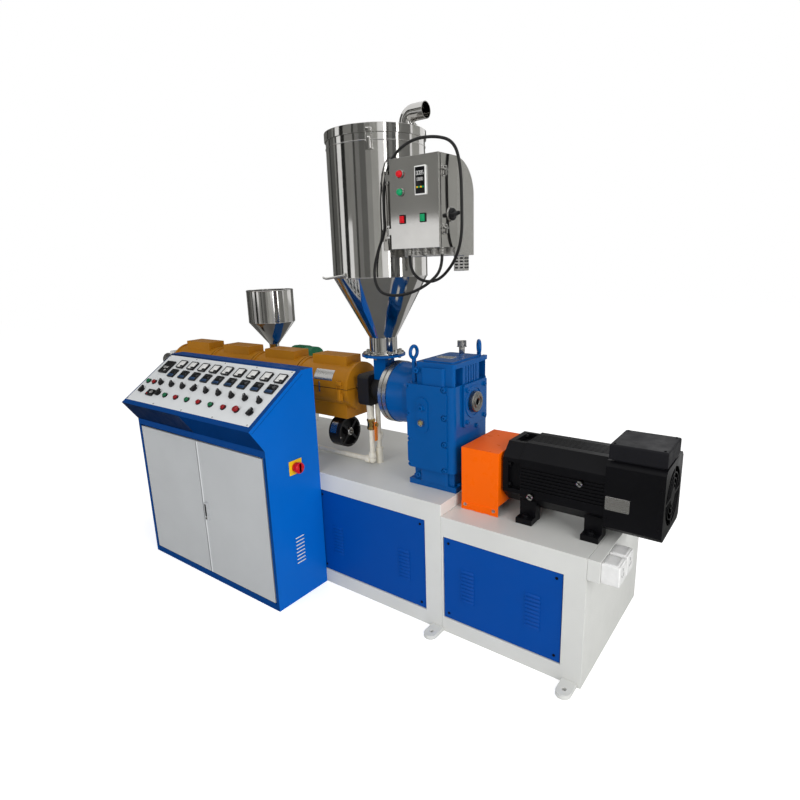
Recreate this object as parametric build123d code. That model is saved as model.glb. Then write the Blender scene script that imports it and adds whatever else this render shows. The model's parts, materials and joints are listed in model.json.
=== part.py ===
from build123d import *
import math
import os

# Base
base_front = 275.0
base_back = 475.0
bed_low = 560.0
bed_step = 52.0
drive_bed_length = 632.0
step_margin = 6.0
post_width = 86.0
step_post_width = 8.0
bay_count = 3
base_tail = 60.0
panel_bottom = 72.0
top_rail_height = 93.0
panel_recess = 14.0
panel_thickness = 9.0
panel_gap = 3.0
lug_width = 60.0
lug_reach = 92.0
lug_thickness = 20.0
lug_hole_radius = 9.0
lug_hole_reach = 54.0
lug_end_margin = 45.0
lug_step_margin = 22.0
bracket_depth = 48.0
bracket_length = 330.0
socket_size = 86.0
socket_depth = 66.0
socket_inset = 3.0
socket_spacing = 92.0
socket_fillet = 7.0

# Screw line
screw_height = 398.0
feed_to_gearbox = 251.0
gearbox_length = 242.0
gearbox_half_width = 155.0
gearbox_foot_overhang = 12.0
gearbox_foot_half_width = 138.0
gearbox_foot_thickness = 26.0
gearbox_sole_inset = 14.0
gearbox_split_height = 94.0
gearbox_body_height = 392.0
gearbox_cap_height = 97.0
gearbox_cap_left_inset = 37.0
gearbox_cap_half_width = 140.0
gearbox_lid_thickness = 6.0
gearbox_lid_inset = 22.0
gearbox_corner = 28.0
gearbox_cap_corner = 16.0
front_plate_length = 212.0
front_plate_thickness = 8.0
bolt_pocket_radius = 14.0
bolt_pocket_inset = 15.0
bolt_level_shares = (0.03, 0.34, 0.65, 0.97)
cap_cover_thickness = 20.0
cap_boss_left = 74.0
cap_boss_length = 120.0
cap_boss_reach = 13.0
cap_boss_corner = 12.0
cap_pocket_depth = 34.0
cap_pocket_front = 8.0
cap_pocket_width = 58.0
cap_rear_pocket_width = 72.0
cap_rib_count = 5
cap_rib_pitch = 22.0
cap_rib_gap = 7.0
cap_rib_depth = 5.0
cap_ear_length = 24.0
cap_ear_reach = 14.0
sole_boss_left = 52.0
sole_boss_length = 148.0
sole_boss_reach = 16.0
sole_boss_corner = 14.0
level_pad_width = 60.0
level_pad_height = 160.0
level_pad_thickness = 7.0
level_pad_offset = 33.0
level_pad_drop = 49.0
rear_cover_front = 82.0
rear_cover_back = 122.0
rear_cover_drop = 106.0
rear_cover_rise = 88.0
rear_cover_thickness = 12.0
rear_cover_corner = 12.0
rear_ring_radius = 74.0
rear_ring_wall = 12.0
rear_ring_height = 5.0
shaft_end_radius = 47.0
shaft_end_bore = 14.0
shaft_end_reach = 34.0
fit = 0.3
eye_ring_radius = 26.0
eye_bar_radius = 8.0
eye_stem_radius = 10.0
eye_front_rise = 38.0
eye_back_rise = 40.0
eye_back_turn = 38.0
eye_margin = 34.0
breather_radius = 13.0
breather_height = 32.0
breather_cap_radius = 21.0
breather_cap_height = 26.0
breather_x_share = 0.52
breather_y_share = 0.82
bell_length = 133.0
bell_front_radius = 147.0
bell_shoulder_radius = 142.0
bell_shoulder_share = 0.68
bell_back_radius = 128.0
ring_thickness = 45.0
ring_radius = 150.0
ring_groove_depth = 6.0
ring_groove_width = 7.0
feed_block_left = 109.0
feed_block_right = 38.0
feed_block_half_width = 84.0
feed_block_half_height = 78.0
feed_block_corner = 22.0
neck_radius = 64.0

# Feed throat and dryer outlet
throat_half = 37.0
throat_wall = 6.0
throat_rise = 170.0
throat_flange_radius = 107.0
throat_flange_thickness = 11.0
outlet_flange_radius = 101.0
outlet_flange_thickness = 8.0
outlet_radius = 68.0
outlet_wall = 4.0
outlet_height = 74.0

# Barrel
barrel_radius = 50.0
cover_radius = 120.0
cover_first = 145.0
cover_pitch = 388.0
cover_gap = 8.0
cover_count = 4
cover_split_gap = 3.0
collar_radius = 125.0
collar_width = 18.0
top_box_margin = 55.0
top_box_length = 240.0
top_box_half_depth = 56.0
top_box_height = 155.0
low_box_margin = 50.0
low_box_length = 246.0
low_box_half_depth = 80.0
low_box_height = 166.0
blower_radius = 84.0
blower_drop = 262.0
blower_margin = 107.0
blower_thickness = 78.0
blower_neck_half = 34.0
blower_eye_radius = 72.0
blower_eye_depth = 34.0
blower_hub_radius = 22.0
blower_bar_width = 12.0
blower_bar_depth = 6.0
support_gap = 12.0
support_thickness = 46.0
support_half_width = 95.0
support_rise = 84.0
support_foot_length = 110.0
support_foot_height = 30.0

# Die head
adapter_radius = 62.0
adapter_length = 46.0
die_neck_radius = 32.0
die_neck_length = 60.0
die_body_radius = 42.0
die_body_length = 90.0
die_nose_radius = 20.0
die_nose_length = 30.0

# Cooling water pipes
pipe_radius = 13.0
fitting_radius = 18.0
pipe_floor_gap = 23.0
supply_x = 66.0
supply_y = 42.0
return_x = 53.0
return_foot_height = 66.0
pipe_run = 1440.0
valve_bottom = 188.0
valve_height = 57.0
valve_radius = 19.0
coupling_height = 66.0
union_height = 130.0
union_length = 34.0
valve_stem_radius = 6.0
valve_stem_reach = 42.0
lever_gap = 8.0
lever_thickness = 6.0
lever_length = 84.0
lever_half_width = 9.0
lever_head = 14.0
valve_nut_radius = 10.0

# Main motor
motor_height = 195.0
motor_half = 135.0
motor_chamfer = 55.0
motor_gap = 10.0
motor_nose_length = 79.0
motor_nose_inset = 5.0
motor_flange_thickness = 23.0
motor_pocket_half = 58.0
motor_pocket_depth = 22.0
motor_body_length = 340.0
motor_fin_depth = 7.0
motor_fin_width = 5.0
motor_fin_pitch = 14.0
motor_fin_count = 7
foot_length = 70.0
foot_reach = 152.0
foot_inner = 60.0
foot_web_reach = 110.0
foot_thickness = 24.0
foot_end_margin = 8.0
cowl_length = 207.0
cowl_half = 138.0
cowl_chamfer = 18.0
cowl_wall = 4.0
cowl_opening_radius = 112.0
grille_ring_width = 4.0
grille_ring_shares = (0.44, 0.62, 0.81)
grille_bar_width = 10.0
grille_hub_radius = 34.0
fan_shaft_radius = 14.0
fan_shaft_length = 74.0
fan_offset = 40.0
fan_width = 60.0
fan_hub_radius = 32.0
fan_radius = 100.0
fan_blade_count = 7
fan_blade_thickness = 5.0
terminal_left = 7.0
terminal_neck_height = 9.0
terminal_neck_inset = 14.0
terminal_height = 59.0
terminal_front = 135.0
terminal_back = 73.0
terminal_chamfer = 4.0

# Coupling and guard
guard_gap = 36.0
guard_length = 178.0
guard_half_width = 150.0
guard_height = 284.0
guard_wall = 3.0
guard_end_lift = 46.0
guard_hole_radius = 62.0
guard_flange_height = 34.0
guard_flange_thickness = 3.0
guard_notch_count = 2
guard_notch_length = 26.0
guard_notch_height = 12.0
coupling_shaft_radius = 26.0
coupling_hub_radius = 58.0
coupling_hub_margin = 40.0

# Hopper dryer
vessel_wall = 3.0
cone_height = 286.0
drum_radius = 223.0
drum_height = 604.0
lid_skirt = 16.0
lid_radius = 229.0
lid_height = 21.0
lid_crown_radius = 118.0
lid_crown_height = 10.0
elbow_radius = 34.0
elbow_wall = 3.0
elbow_reach = 178.0
elbow_flange_radius = 44.0
elbow_flange_thickness = 8.0
elbow_rise = 52.0
elbow_run = 100.0
elbow_bend = 40.0
housing_gap = 28.0
housing_length = 252.0
housing_front = 143.0
housing_depth = 148.0
housing_drop = 150.0
housing_height = 371.0
housing_round = 136.0
duct_width = 114.0
duct_front = 120.0
duct_bottom = 60.0
duct_height = 150.0
duct_depth = 72.0
fan_case_left = 180.0
fan_case_length = 51.0
fan_case_front = 40.0
fan_case_depth = 40.0
fan_case_height = 63.0
box_left = 277.0
box_length = 236.0
box_depth = 115.0
box_bottom_rise = 32.0
box_height = 337.0
box_wall = 3.0
box_door_gap = 5.0
box_door_thickness = 12.0
box_door_side_gap = 8.0
box_hinge_offset = 8.0
box_hinge_pin_radius = 4.0
box_knuckle_radius = 7.0
box_hinge_shares = (0.2, 0.8)
box_hinge_half = 25.0
box_lug_thickness = 8.0
box_lug_reach = 23.0
gland_radius = 11.0
gland_length = 26.0
gland_count = 5
gland_setback = 62.0
cord_radius = 6.0
cord_lead = 58.0
cord_offsets = (
    (48.0, 11.0, -106.0),
    (116.0, 36.0, -106.0),
    (189.0, 41.0, -34.0),
    (229.0, 34.0, 58.0),
    (230.0, 31.0, 190.0),
    (229.0, 27.0, 318.0),
    (209.0, 16.0, 408.0),
    (134.0, -2.0, 436.0),
    (29.0, -19.0, 434.0),
    (-54.0, -36.0, 378.0),
    (-86.0, -44.0, 288.0),
    (-92.0, -46.0, 173.0),
    (-84.0, -47.0, 103.0),
    (-126.0, -52.0, 23.0),
    (-150.0, -59.0, -72.0),
    (-120.0, -64.0, -146.0),
    (-41.0, -62.0, -162.0),
    (44.0, -52.0, -148.0),
    (114.0, -32.0, -112.0),
)
cord_bend_share = 0.45

# Co-extruder behind the barrel
co_offset = 325.0
co_feed_x = 1194.0
co_drop = 20.0
co_stand_length = 330.0
co_stand_half_width = 95.0
co_stand_height = 240.0
co_feed_half = 52.0
co_box_length = 150.0
co_box_half_width = 72.0
co_box_rise = 92.0
co_motor_length = 190.0
co_motor_radius = 72.0
co_motor_rise = 62.0
co_motor_seat = 50.0
co_barrel_radius = 42.0
co_link_radius = 24.0
co_link_cap = 40.0
co_outlet_radius = 32.0
co_outlet_height = 78.0
co_cone_height = 148.0
co_hopper_radius = 149.0
co_hopper_height = 204.0
co_wall = 3.0

# Control cabinet
cabinet_right = 221.0
cabinet_width = 1087.0
cabinet_depth = 327.0
nose_depth = 404.0
top_depth = 72.0
chin_height = 818.0
nose_height = 927.0
cabinet_height = 1146.0
cabinet_wall = 3.0
door_side_margin = 20.0
door_bottom = 29.0
door_top = 784.0
door_frame_depth = 32.0
front_sheet = 1
door_gap = 8.0
door_thickness = 16.0
door_pin_inset = 12.0
door_pin_radius = 4.0
door_pin_depth = 14.0
handle_inset = 22.0
handle_width = 24.0
handle_length = 96.0
handle_height = 354.0
handle_depth = 14.0
vent_count = 8
vent_bottom = 191.0
vent_pitch = 19.0
vent_height = 6.0
vent_front = 192.0
vent_length = 57.0
switch_plate_width = 79.0
switch_plate_height = 70.0
switch_plate_thickness = 4.0
switch_setback = 157.0
switch_height = 691.0
switch_stub_radius = 8.0
switch_stub_length = 16.0
switch_knob_gap = 1.0
switch_knob_radius = 24.0
switch_knob_depth = 14.0
switch_grip_width = 12.0
switch_grip_depth = 18.0

# Sloped panel and its instruments
plate_left = 15.0
plate_right = 25.0
plate_bottom = 27.0
plate_top = 15.0
plate_thickness = 3.0
meter_count = 9
meter_first = 208.0
meter_pitch = 101.6
meter_row = 320.0
meter_width = 57.0
meter_height = 55.0
meter_depth = 12.0
controller_first = 200.0
controller_pitch = 101.6
controller_row = 251.0
controller_size = 55.0
controller_depth = 9.0
display_across = 98.0
display_row = 287.0
display_width = 76.0
display_height = 88.0
display_depth = 10.0
small_display_across = 178.0
small_display_row = 96.0
small_display_width = 60.0
small_display_height = 40.0
knob_first = 183.0
knob_pitch = 102.5
knob_row = 172.0
knob_radius = 16.0
knob_base_height = 6.0
knob_grip_width = 10.0
knob_grip_height = 16.0
button_first = 313.0
button_pitch = 99.3
button_row = 98.5
button_count = 8
button_radius = 14.0
button_height = 14.0
lamp_first = 60.0
lamp_pitch = 57.0
lamp_row = 170.0
side_knob_first = 80.0
side_knob_pitch = 163.0
side_knob_row = 103.0
side_row_count = 2


def block(x0, x1, y0, y1, z0, z1):
    return Pos((x0 + x1) / 2, (y0 + y1) / 2, (z0 + z1) / 2) * Box(x1 - x0, y1 - y0, z1 - z0)


def rod_x(x0, x1, y, z, radius):
    return Pos((x0 + x1) / 2, y, z) * Rot(0, 90, 0) * Cylinder(radius, x1 - x0)


def rod_y(y0, y1, x, z, radius):
    return Pos(x, (y0 + y1) / 2, z) * Rot(90, 0, 0) * Cylinder(radius, y1 - y0)


def rod_z(z0, z1, x, y, radius):
    return Pos(x, y, (z0 + z1) / 2) * Cylinder(radius, z1 - z0)


def prism_x(points, x0, x1):
    face = Face(Wire.make_polygon([Vector(x0, y, z) for y, z in points], close=True))
    return Solid.extrude(face, Vector(x1 - x0, 0, 0))


def turned_z(points):
    face = Face(Wire.make_polygon([Vector(r, 0, z) for r, z in points], close=True))
    return Solid.revolve(face, 360, Axis.Z)


def edges_along(shape, axis):
    return shape.edges().filter_by(axis)


def write(name, shape):
    export_step(shape, f"parts/{name}.step")


# Levels and stations that follow from the sizes
bed_high = bed_low + bed_step
axis_z = bed_high + screw_height
gearbox_left = feed_to_gearbox
gearbox_right = gearbox_left + gearbox_length
step_x = gearbox_right + step_margin
base_right = step_x + drive_bed_length
barrel_left = -cover_first - cover_count * cover_pitch - support_gap - support_thickness
base_left = barrel_left - base_tail
bay_pitch = (step_x - base_left - post_width) / bay_count
motor_z = bed_low + motor_height


def drive_field():
    return step_x + step_post_width, base_right - post_width, bed_low - top_rail_height


def barrel_fields():
    fields = []
    for bay in range(bay_count):
        right = step_x - post_width - bay * bay_pitch
        fields.append((right - bay_pitch + post_width, right, bed_high - top_rail_height))
    return fields


def recessed(frame, fields):
    for x0, x1, top in fields:
        frame -= block(x0, x1, -base_front, panel_recess - base_front, panel_bottom, top)
        frame -= block(x0, x1, base_back - panel_recess, base_back, panel_bottom, top)
    return frame


def barrel_base():
    return recessed(block(base_left, step_x, -base_front, base_back, 0, bed_high), barrel_fields())


def drive_base():
    return recessed(block(step_x, base_right, -base_front, base_back, 0, bed_low), [drive_field()])


def panels(y0):
    made = []
    for x0, x1, top in [drive_field()] + barrel_fields():
        low = panel_bottom + panel_gap
        made.append(block(x0 + panel_gap, x1 - panel_gap, y0, y0 + panel_thickness, low, top - panel_gap))
    return Compound(children=made)


def lug_stations():
    return (base_left + lug_end_margin, step_x - lug_step_margin, base_right - lug_end_margin)


def anchor_lugs():
    made = []
    half = lug_width / 2
    for x in lug_stations():
        for face_y, sign in ((-base_front, -1), (base_back, 1)):
            tip = face_y + sign * (lug_reach - half)
            low, high = sorted((face_y, tip))
            lug = block(x - half, x + half, low, high, 0, lug_thickness)
            lug += rod_z(0, lug_thickness, x, tip, half)
            lug -= rod_z(0, lug_thickness, x, face_y + sign * lug_hole_reach, lug_hole_radius)
            made.append(lug)
    return Compound(children=made)


bracket_x = base_right + bracket_depth
socket_z = bed_low - socket_size


def socket_bracket():
    return block(base_right, bracket_x, -base_front, bracket_length - base_front, socket_z, bed_low)


def socket_outlets():
    made = []
    inset = socket_inset
    for place in range(2):
        y0 = place * socket_spacing - base_front
        cover = block(bracket_x, bracket_x + socket_depth, y0 + inset, y0 + socket_size - inset,
                      socket_z + inset, bed_low - inset)
        made.append(fillet(edges_along(cover, Axis.X), socket_fillet))
    return Compound(children=made)


# Gearbox and its attachments
gearbox_split_z = bed_high + gearbox_split_height
gearbox_cap_z = gearbox_split_z + gearbox_body_height
gearbox_top_z = gearbox_cap_z + gearbox_cap_height


def gearbox_sole():
    left = gearbox_left - gearbox_foot_overhang
    foot_top = bed_high + gearbox_foot_thickness
    foot = block(left, gearbox_right, -gearbox_foot_half_width, gearbox_foot_half_width, bed_high, foot_top)
    inset = gearbox_sole_inset
    wide = gearbox_half_width - inset - inset
    sole = block(gearbox_left + inset, gearbox_right - inset, -wide, wide, foot_top, gearbox_split_z)
    boss_x = gearbox_left + sole_boss_left
    boss = block(boss_x, boss_x + sole_boss_length, -wide - sole_boss_reach, -inset,
                 foot_top, gearbox_split_z)
    boss = fillet(edges_along(boss, Axis.Z).group_by(Axis.Y)[0], sole_boss_corner)
    return foot + sole + boss


def gearbox_housing():
    body = block(gearbox_left, gearbox_right, -gearbox_half_width, gearbox_half_width,
                 gearbox_split_z, gearbox_cap_z)
    body = fillet(edges_along(body, Axis.Z), gearbox_corner)
    plate_y = -gearbox_half_width - front_plate_thickness
    plate_right = gearbox_left + front_plate_length
    body += block(gearbox_left, plate_right, plate_y, gearbox_corner - gearbox_half_width,
                  gearbox_split_z, gearbox_cap_z)
    pocket = bolt_pocket_radius
    for share in bolt_level_shares:
        z = gearbox_split_z + gearbox_body_height * share
        for x, edge_x in ((gearbox_left, gearbox_left), (plate_right - bolt_pocket_inset, plate_right)):
            body -= rod_y(plate_y, -gearbox_half_width, x, z, pocket)
            if edge_x > x:
                body -= block(x, edge_x, plate_y, -gearbox_half_width, z - pocket, z + pocket)
    pad_x = (gearbox_left + gearbox_right) / 2 - level_pad_offset
    pad_z = axis_z - level_pad_drop
    straight = (level_pad_height - level_pad_width) / 2
    y1 = plate_y
    y0 = y1 - level_pad_thickness
    body += block(pad_x - level_pad_width / 2, pad_x + level_pad_width / 2, y0, y1,
                  pad_z - straight, pad_z + straight)
    for end_z in (pad_z - straight, pad_z + straight):
        body += rod_y(y0, y1, pad_x, end_z, level_pad_width / 2)
    return body


def gearbox_cap():
    left = gearbox_left + gearbox_cap_left_inset
    half = gearbox_cap_half_width
    cap = block(left, gearbox_right, -half, half, gearbox_cap_z, gearbox_top_z)
    cap = fillet(edges_along(cap, Axis.Z), gearbox_cap_corner)
    under = gearbox_top_z - cap_cover_thickness
    pocket_x = gearbox_right - cap_pocket_depth
    front_y = cap_pocket_front - half
    cap -= block(pocket_x, gearbox_right, front_y, front_y + cap_pocket_width, gearbox_cap_z, under)
    cap -= block(pocket_x, gearbox_right, half - cap_rear_pocket_width, half - cap_pocket_front,
                 gearbox_cap_z, under)
    middle = (front_y + cap_pocket_width + half - cap_rear_pocket_width) / 2
    first = middle - (cap_rib_count - 1) * cap_rib_pitch / 2 - cap_rib_gap / 2
    for place in range(cap_rib_count):
        y0 = first + place * cap_rib_pitch
        cap -= block(gearbox_right - cap_rib_depth, gearbox_right, y0, y0 + cap_rib_gap, gearbox_cap_z, under)
    boss_x = gearbox_left + cap_boss_left
    boss = block(boss_x, boss_x + cap_boss_length, -half - cap_boss_reach, 0, gearbox_cap_z, under)
    cap += fillet(edges_along(boss, Axis.Z).group_by(Axis.Y)[0], cap_boss_corner)
    cap += block(gearbox_right - cap_ear_length, gearbox_right - cap_rib_depth, 0, half + cap_ear_reach,
                 under, gearbox_top_z)
    inset = gearbox_lid_inset
    lid = block(left + inset, gearbox_right - inset, inset - half, half - inset,
                gearbox_top_z, gearbox_top_z + gearbox_lid_thickness)
    return cap + fillet(edges_along(lid, Axis.Z), gearbox_cap_corner)


def gearbox_rear_cover():
    right = gearbox_right + rear_cover_thickness
    plate = block(gearbox_right, right, -rear_cover_front, rear_cover_back,
                  axis_z - rear_cover_drop, axis_z + rear_cover_rise)
    plate = fillet(edges_along(plate, Axis.X), rear_cover_corner)
    top = right + rear_ring_height
    plate += rod_x(right, top, 0, axis_z, rear_ring_radius)
    plate -= rod_x(right, top, 0, axis_z, rear_ring_radius - rear_ring_wall)
    return plate - rod_x(gearbox_right, right, 0, axis_z, shaft_end_radius + fit)


def screw_shaft_end():
    x0 = gearbox_right + fit
    x1 = gearbox_right + shaft_end_reach
    return rod_x(x0, x1, 0, axis_z, shaft_end_radius) - rod_x(x0, x1, 0, axis_z, shaft_end_bore)


def eye_bolt(x, y, seat_z, ring_z, turn):
    stem = rod_z(seat_z, ring_z - eye_ring_radius, x, y, eye_stem_radius)
    ring = Pos(x, y, ring_z) * Rot(0, 0, turn) * Rot(0, 90, 0) * Torus(eye_ring_radius, eye_bar_radius)
    return stem + ring


def gearbox_eye_bolts():
    front = eye_bolt(gearbox_left + gearbox_cap_left_inset / 2, eye_margin - gearbox_half_width,
                     gearbox_cap_z, gearbox_top_z + eye_front_rise, 0)
    back = eye_bolt(gearbox_right - eye_margin, gearbox_cap_half_width - gearbox_lid_inset / 2,
                    gearbox_top_z, gearbox_top_z + eye_back_rise, eye_back_turn)
    return Compound(children=[front, back])


def gearbox_breather():
    z0 = gearbox_top_z + gearbox_lid_thickness
    x = gearbox_left + gearbox_length * breather_x_share
    y = gearbox_cap_half_width * breather_y_share
    z1 = z0 + breather_height
    stem = rod_z(z0, z1, x, y, breather_radius)
    return stem + rod_z(z1, z1 + breather_cap_height, x, y, breather_cap_radius)


def bell():
    x0 = gearbox_left - bell_length
    face = Face(Wire.make_polygon([
        Vector(x0, 0, axis_z),
        Vector(x0, 0, axis_z + bell_front_radius),
        Vector(x0 + bell_length * bell_shoulder_share, 0, axis_z + bell_shoulder_radius),
        Vector(gearbox_left, 0, axis_z + bell_back_radius),
        Vector(gearbox_left, 0, axis_z),
    ], close=True))
    return Solid.revolve(face, 360, Axis((0, 0, axis_z), (1, 0, 0)))


def bell_flange_ring():
    x1 = gearbox_left - bell_length
    x0 = x1 - ring_thickness
    ring = rod_x(x0, x1, 0, axis_z, ring_radius)
    middle = (x0 + x1) / 2
    groove = rod_x(middle - ring_groove_width / 2, middle + ring_groove_width / 2, 0, axis_z, ring_radius)
    core = rod_x(middle - ring_groove_width / 2, middle + ring_groove_width / 2, 0, axis_z,
                 ring_radius - ring_groove_depth)
    return ring - (groove - core)


def feed_block():
    body = block(-feed_block_left, -feed_block_right, -feed_block_half_width, feed_block_half_width,
                 axis_z - feed_block_half_height, axis_z + feed_block_half_height)
    body = fillet(edges_along(body, Axis.X), feed_block_corner)
    neck_end = gearbox_left - bell_length - ring_thickness
    return body + rod_x(-feed_block_right, neck_end, 0, axis_z, neck_radius)


# Feed throat and dryer stand on the feed block's neck
throat_top = axis_z + throat_rise
outlet_z = throat_top + throat_flange_thickness
outlet_ring_z = outlet_z + outlet_flange_thickness
cone_z = outlet_ring_z + outlet_height
drum_z = cone_z + cone_height
lid_z = drum_z + drum_height


def feed_throat():
    tube = block(-throat_half, throat_half, -throat_half, throat_half, axis_z, throat_top)
    hole = throat_half - throat_wall
    throat = tube + rod_z(throat_top, outlet_z, 0, 0, throat_flange_radius)
    throat -= block(-hole, hole, -hole, hole, axis_z, outlet_z)
    return throat - rod_x(-feed_block_left, gearbox_left, 0, axis_z, neck_radius)


def dryer_outlet():
    flange = rod_z(outlet_z, outlet_ring_z, 0, 0, outlet_flange_radius)
    ring = rod_z(outlet_ring_z, cone_z, 0, 0, outlet_radius)
    return flange + ring - rod_z(outlet_z, cone_z, 0, 0, outlet_radius - outlet_wall)


def dryer_vessel():
    inner = drum_radius - vessel_wall
    return turned_z([
        (outlet_radius - outlet_wall, cone_z),
        (outlet_radius, cone_z),
        (drum_radius, drum_z),
        (drum_radius, lid_z),
        (inner, lid_z),
        (inner, drum_z),
    ])


def dryer_lid():
    top = lid_z + lid_height
    bore = drum_radius + fit
    return turned_z([
        (0, lid_z),
        (bore, lid_z),
        (bore, lid_z - lid_skirt),
        (lid_radius, lid_z - lid_skirt),
        (lid_radius, top),
        (lid_crown_radius, top),
        (lid_crown_radius - lid_crown_height, top + lid_crown_height),
        (0, top + lid_crown_height),
    ])


def exhaust_elbow():
    z0 = lid_z + lid_height
    x = elbow_reach
    route = FilletPolyline((x, 0, z0), (x, 0, z0 + elbow_rise), (x + elbow_run, 0, z0 + elbow_rise),
                           radius=elbow_bend)
    ring = Pos(x, 0, z0) * (Circle(elbow_radius) - Circle(elbow_radius - elbow_wall))
    pipe = sweep(ring, path=route)
    flange = rod_z(z0, z0 + elbow_flange_thickness, x, 0, elbow_flange_radius)
    flange -= rod_z(z0, z0 + elbow_flange_thickness, x, 0, elbow_radius)
    return pipe + flange


housing_z = lid_z - housing_drop - housing_height


def dryer_air_housing():
    x0 = drum_radius + housing_gap
    x1 = x0 + housing_length
    z1 = lid_z - housing_drop
    z0 = housing_z
    body = block(x0, x1, -housing_front, housing_depth - housing_front, z0, z1)
    body = fillet(edges_along(body, Axis.X).sort_by(Axis.Z)[-2:].sort_by(Axis.Y)[-1:], housing_round)
    duct = block(x0 - duct_depth, x0, -duct_front, duct_width - duct_front,
                 z0 + duct_bottom, z0 + duct_bottom + duct_height)
    duct -= rod_z(drum_z, lid_z, 0, 0, drum_radius + fit)
    case_x = x0 + fan_case_left
    case = block(case_x, case_x + fan_case_length, -fan_case_front, fan_case_depth - fan_case_front,
                 z0 - fan_case_height, z0)
    return body + duct + case


# Dryer control box in front of the air housing
box_back = -housing_front
box_front = box_back - box_depth
box_right = box_left + box_length
box_z = housing_z + box_bottom_rise
box_top = box_z + box_height
door_back = box_front - box_door_gap
door_front = door_back - box_door_thickness
hinge_x = box_left - box_hinge_offset
hinge_y = (door_back + door_front) / 2
gland_pitch = box_length / (gland_count + 1)
gland_x = box_left + gland_pitch
gland_y = box_front + gland_setback


def hinge_levels():
    return [box_z + box_height * share for share in box_hinge_shares]


def dryer_control_box():
    wall = box_wall
    box = block(box_left, box_right, box_front, box_back, box_z, box_top)
    box -= block(box_left + wall, box_right - wall, box_front, box_back - wall, box_z + wall, box_top - wall)
    lug_x = hinge_x - box_knuckle_radius
    for level in hinge_levels():
        for z0 in (level - box_hinge_half, level + box_hinge_half - box_lug_thickness):
            box += block(lug_x, box_left, door_front, box_front + box_lug_reach, z0, z0 + box_lug_thickness)
        box += rod_z(level - box_hinge_half, level + box_hinge_half, hinge_x, hinge_y, box_hinge_pin_radius)
    for place in range(gland_count):
        x = gland_x + gland_pitch * place
        box += rod_z(box_z - gland_length, box_z, x, gland_y, gland_radius)
    return box


def dryer_box_door():
    x0 = box_left + box_door_side_gap
    door = block(x0, box_right, door_front, door_back, box_z, box_top)
    half = box_hinge_half - box_lug_thickness - box_door_gap
    for level in hinge_levels():
        door += rod_z(level - half, level + half, hinge_x, hinge_y, box_knuckle_radius)
        door += block(hinge_x, x0, door_front, door_back, level - half, level + half)
        door -= rod_z(level - half, level + half, hinge_x, hinge_y, box_hinge_pin_radius + fit)
    return door


# Cable looped round the control box, from its first gland to its last
def cord_route():
    first = Vector(gland_x, gland_y, box_z - gland_length)
    last = first + Vector(gland_pitch * (gland_count - 1), 0, 0)
    lead = Vector(0, 0, cord_lead)
    return [first, first - lead] + [first + Vector(*step) for step in cord_offsets] + [last - lead, last]


def dryer_cord():
    points = cord_route()
    edges = []
    radii = []
    here = points[0]
    for before, corner, after in zip(points, points[1:], points[2:]):
        come = (corner - before).normalized()
        leave = (after - corner).normalized()
        reach = cord_bend_share * min((corner - before).length, (after - corner).length)
        half_turn = math.radians(come.get_angle(leave)) / 2
        radius = reach / math.tan(half_turn)
        start = corner - come * reach
        finish = corner + leave * reach
        middle = corner + (leave - come).normalized() * (radius / math.cos(half_turn) - radius)
        edges += [Edge.make_line(here, start), Edge.make_three_point_arc(start, middle, finish)]
        radii.append(round(radius, 1))
        here = finish
    edges.append(Edge.make_line(here, points[-1]))
    print("dryer_cord bend radii", radii)
    start_plane = Plane(origin=points[0], z_dir=points[1] - points[0])
    return sweep(start_plane * Circle(cord_radius), path=Wire(edges))


# Barrel line

def barrel_tube():
    return rod_x(barrel_left, -feed_block_left, 0, axis_z, barrel_radius)


def heater_cover(zone):
    x1 = -cover_first - zone * cover_pitch
    x0 = x1 - cover_pitch + cover_gap
    shell = rod_x(x0, x1, 0, axis_z, cover_radius)
    shell += rod_x(x0, x0 + collar_width, 0, axis_z, collar_radius)
    shell += rod_x(x1 - collar_width, x1, 0, axis_z, collar_radius)
    top_x = x1 - top_box_margin
    shell += block(top_x - top_box_length, top_x, -top_box_half_depth, top_box_half_depth,
                   axis_z, axis_z + top_box_height)
    low_x = x1 - low_box_margin
    shell += block(low_x - low_box_length, low_x, -low_box_half_depth, low_box_half_depth,
                   axis_z - low_box_height, axis_z)
    shell -= rod_x(x0, x1, 0, axis_z, barrel_radius + fit)
    split = cover_split_gap / 2
    shell -= block(x0, x1, -collar_radius, collar_radius, axis_z - split, axis_z + split)
    return Compound(children=shell.solids())


def barrel_blower(zone):
    x1 = -cover_first - zone * cover_pitch - blower_margin
    x0 = x1 - blower_thickness
    z = axis_z - blower_drop
    case = rod_x(x0, x1, 0, z, blower_radius)
    case += block(x0, x1, -blower_neck_half, blower_neck_half, z, axis_z - low_box_height)
    eye_x = x1 - blower_eye_depth
    case -= rod_x(eye_x, x1, 0, z, blower_eye_radius)
    case += rod_x(eye_x, x1, 0, z, blower_hub_radius)
    bar = block(x1 - blower_bar_depth, x1, -blower_eye_radius, blower_eye_radius,
                -blower_bar_width / 2, blower_bar_width / 2)
    for turn in (45, -45):
        case += Pos(0, 0, z) * Rot(turn, 0, 0) * bar
    return case


def barrel_blowers():
    return Compound(children=[barrel_blower(zone) for zone in range(cover_count)])


def barrel_support():
    x0 = barrel_left
    x1 = x0 + support_thickness
    half = support_half_width
    stand = block(x0, x1, -half, half, bed_high, axis_z + support_rise)
    middle = (x0 + x1) / 2
    stand += block(middle - support_foot_length / 2, middle + support_foot_length / 2, -half, half,
                   bed_high, bed_high + support_foot_height)
    return stand - rod_x(x0, x1, 0, axis_z, barrel_radius + fit)


# Die head with the co-extruder's link entering from behind
neck_x = barrel_left - adapter_length
die_x = neck_x - die_neck_length
nose_x = die_x - die_body_length
link_x = die_x - die_body_length / 2


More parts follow.
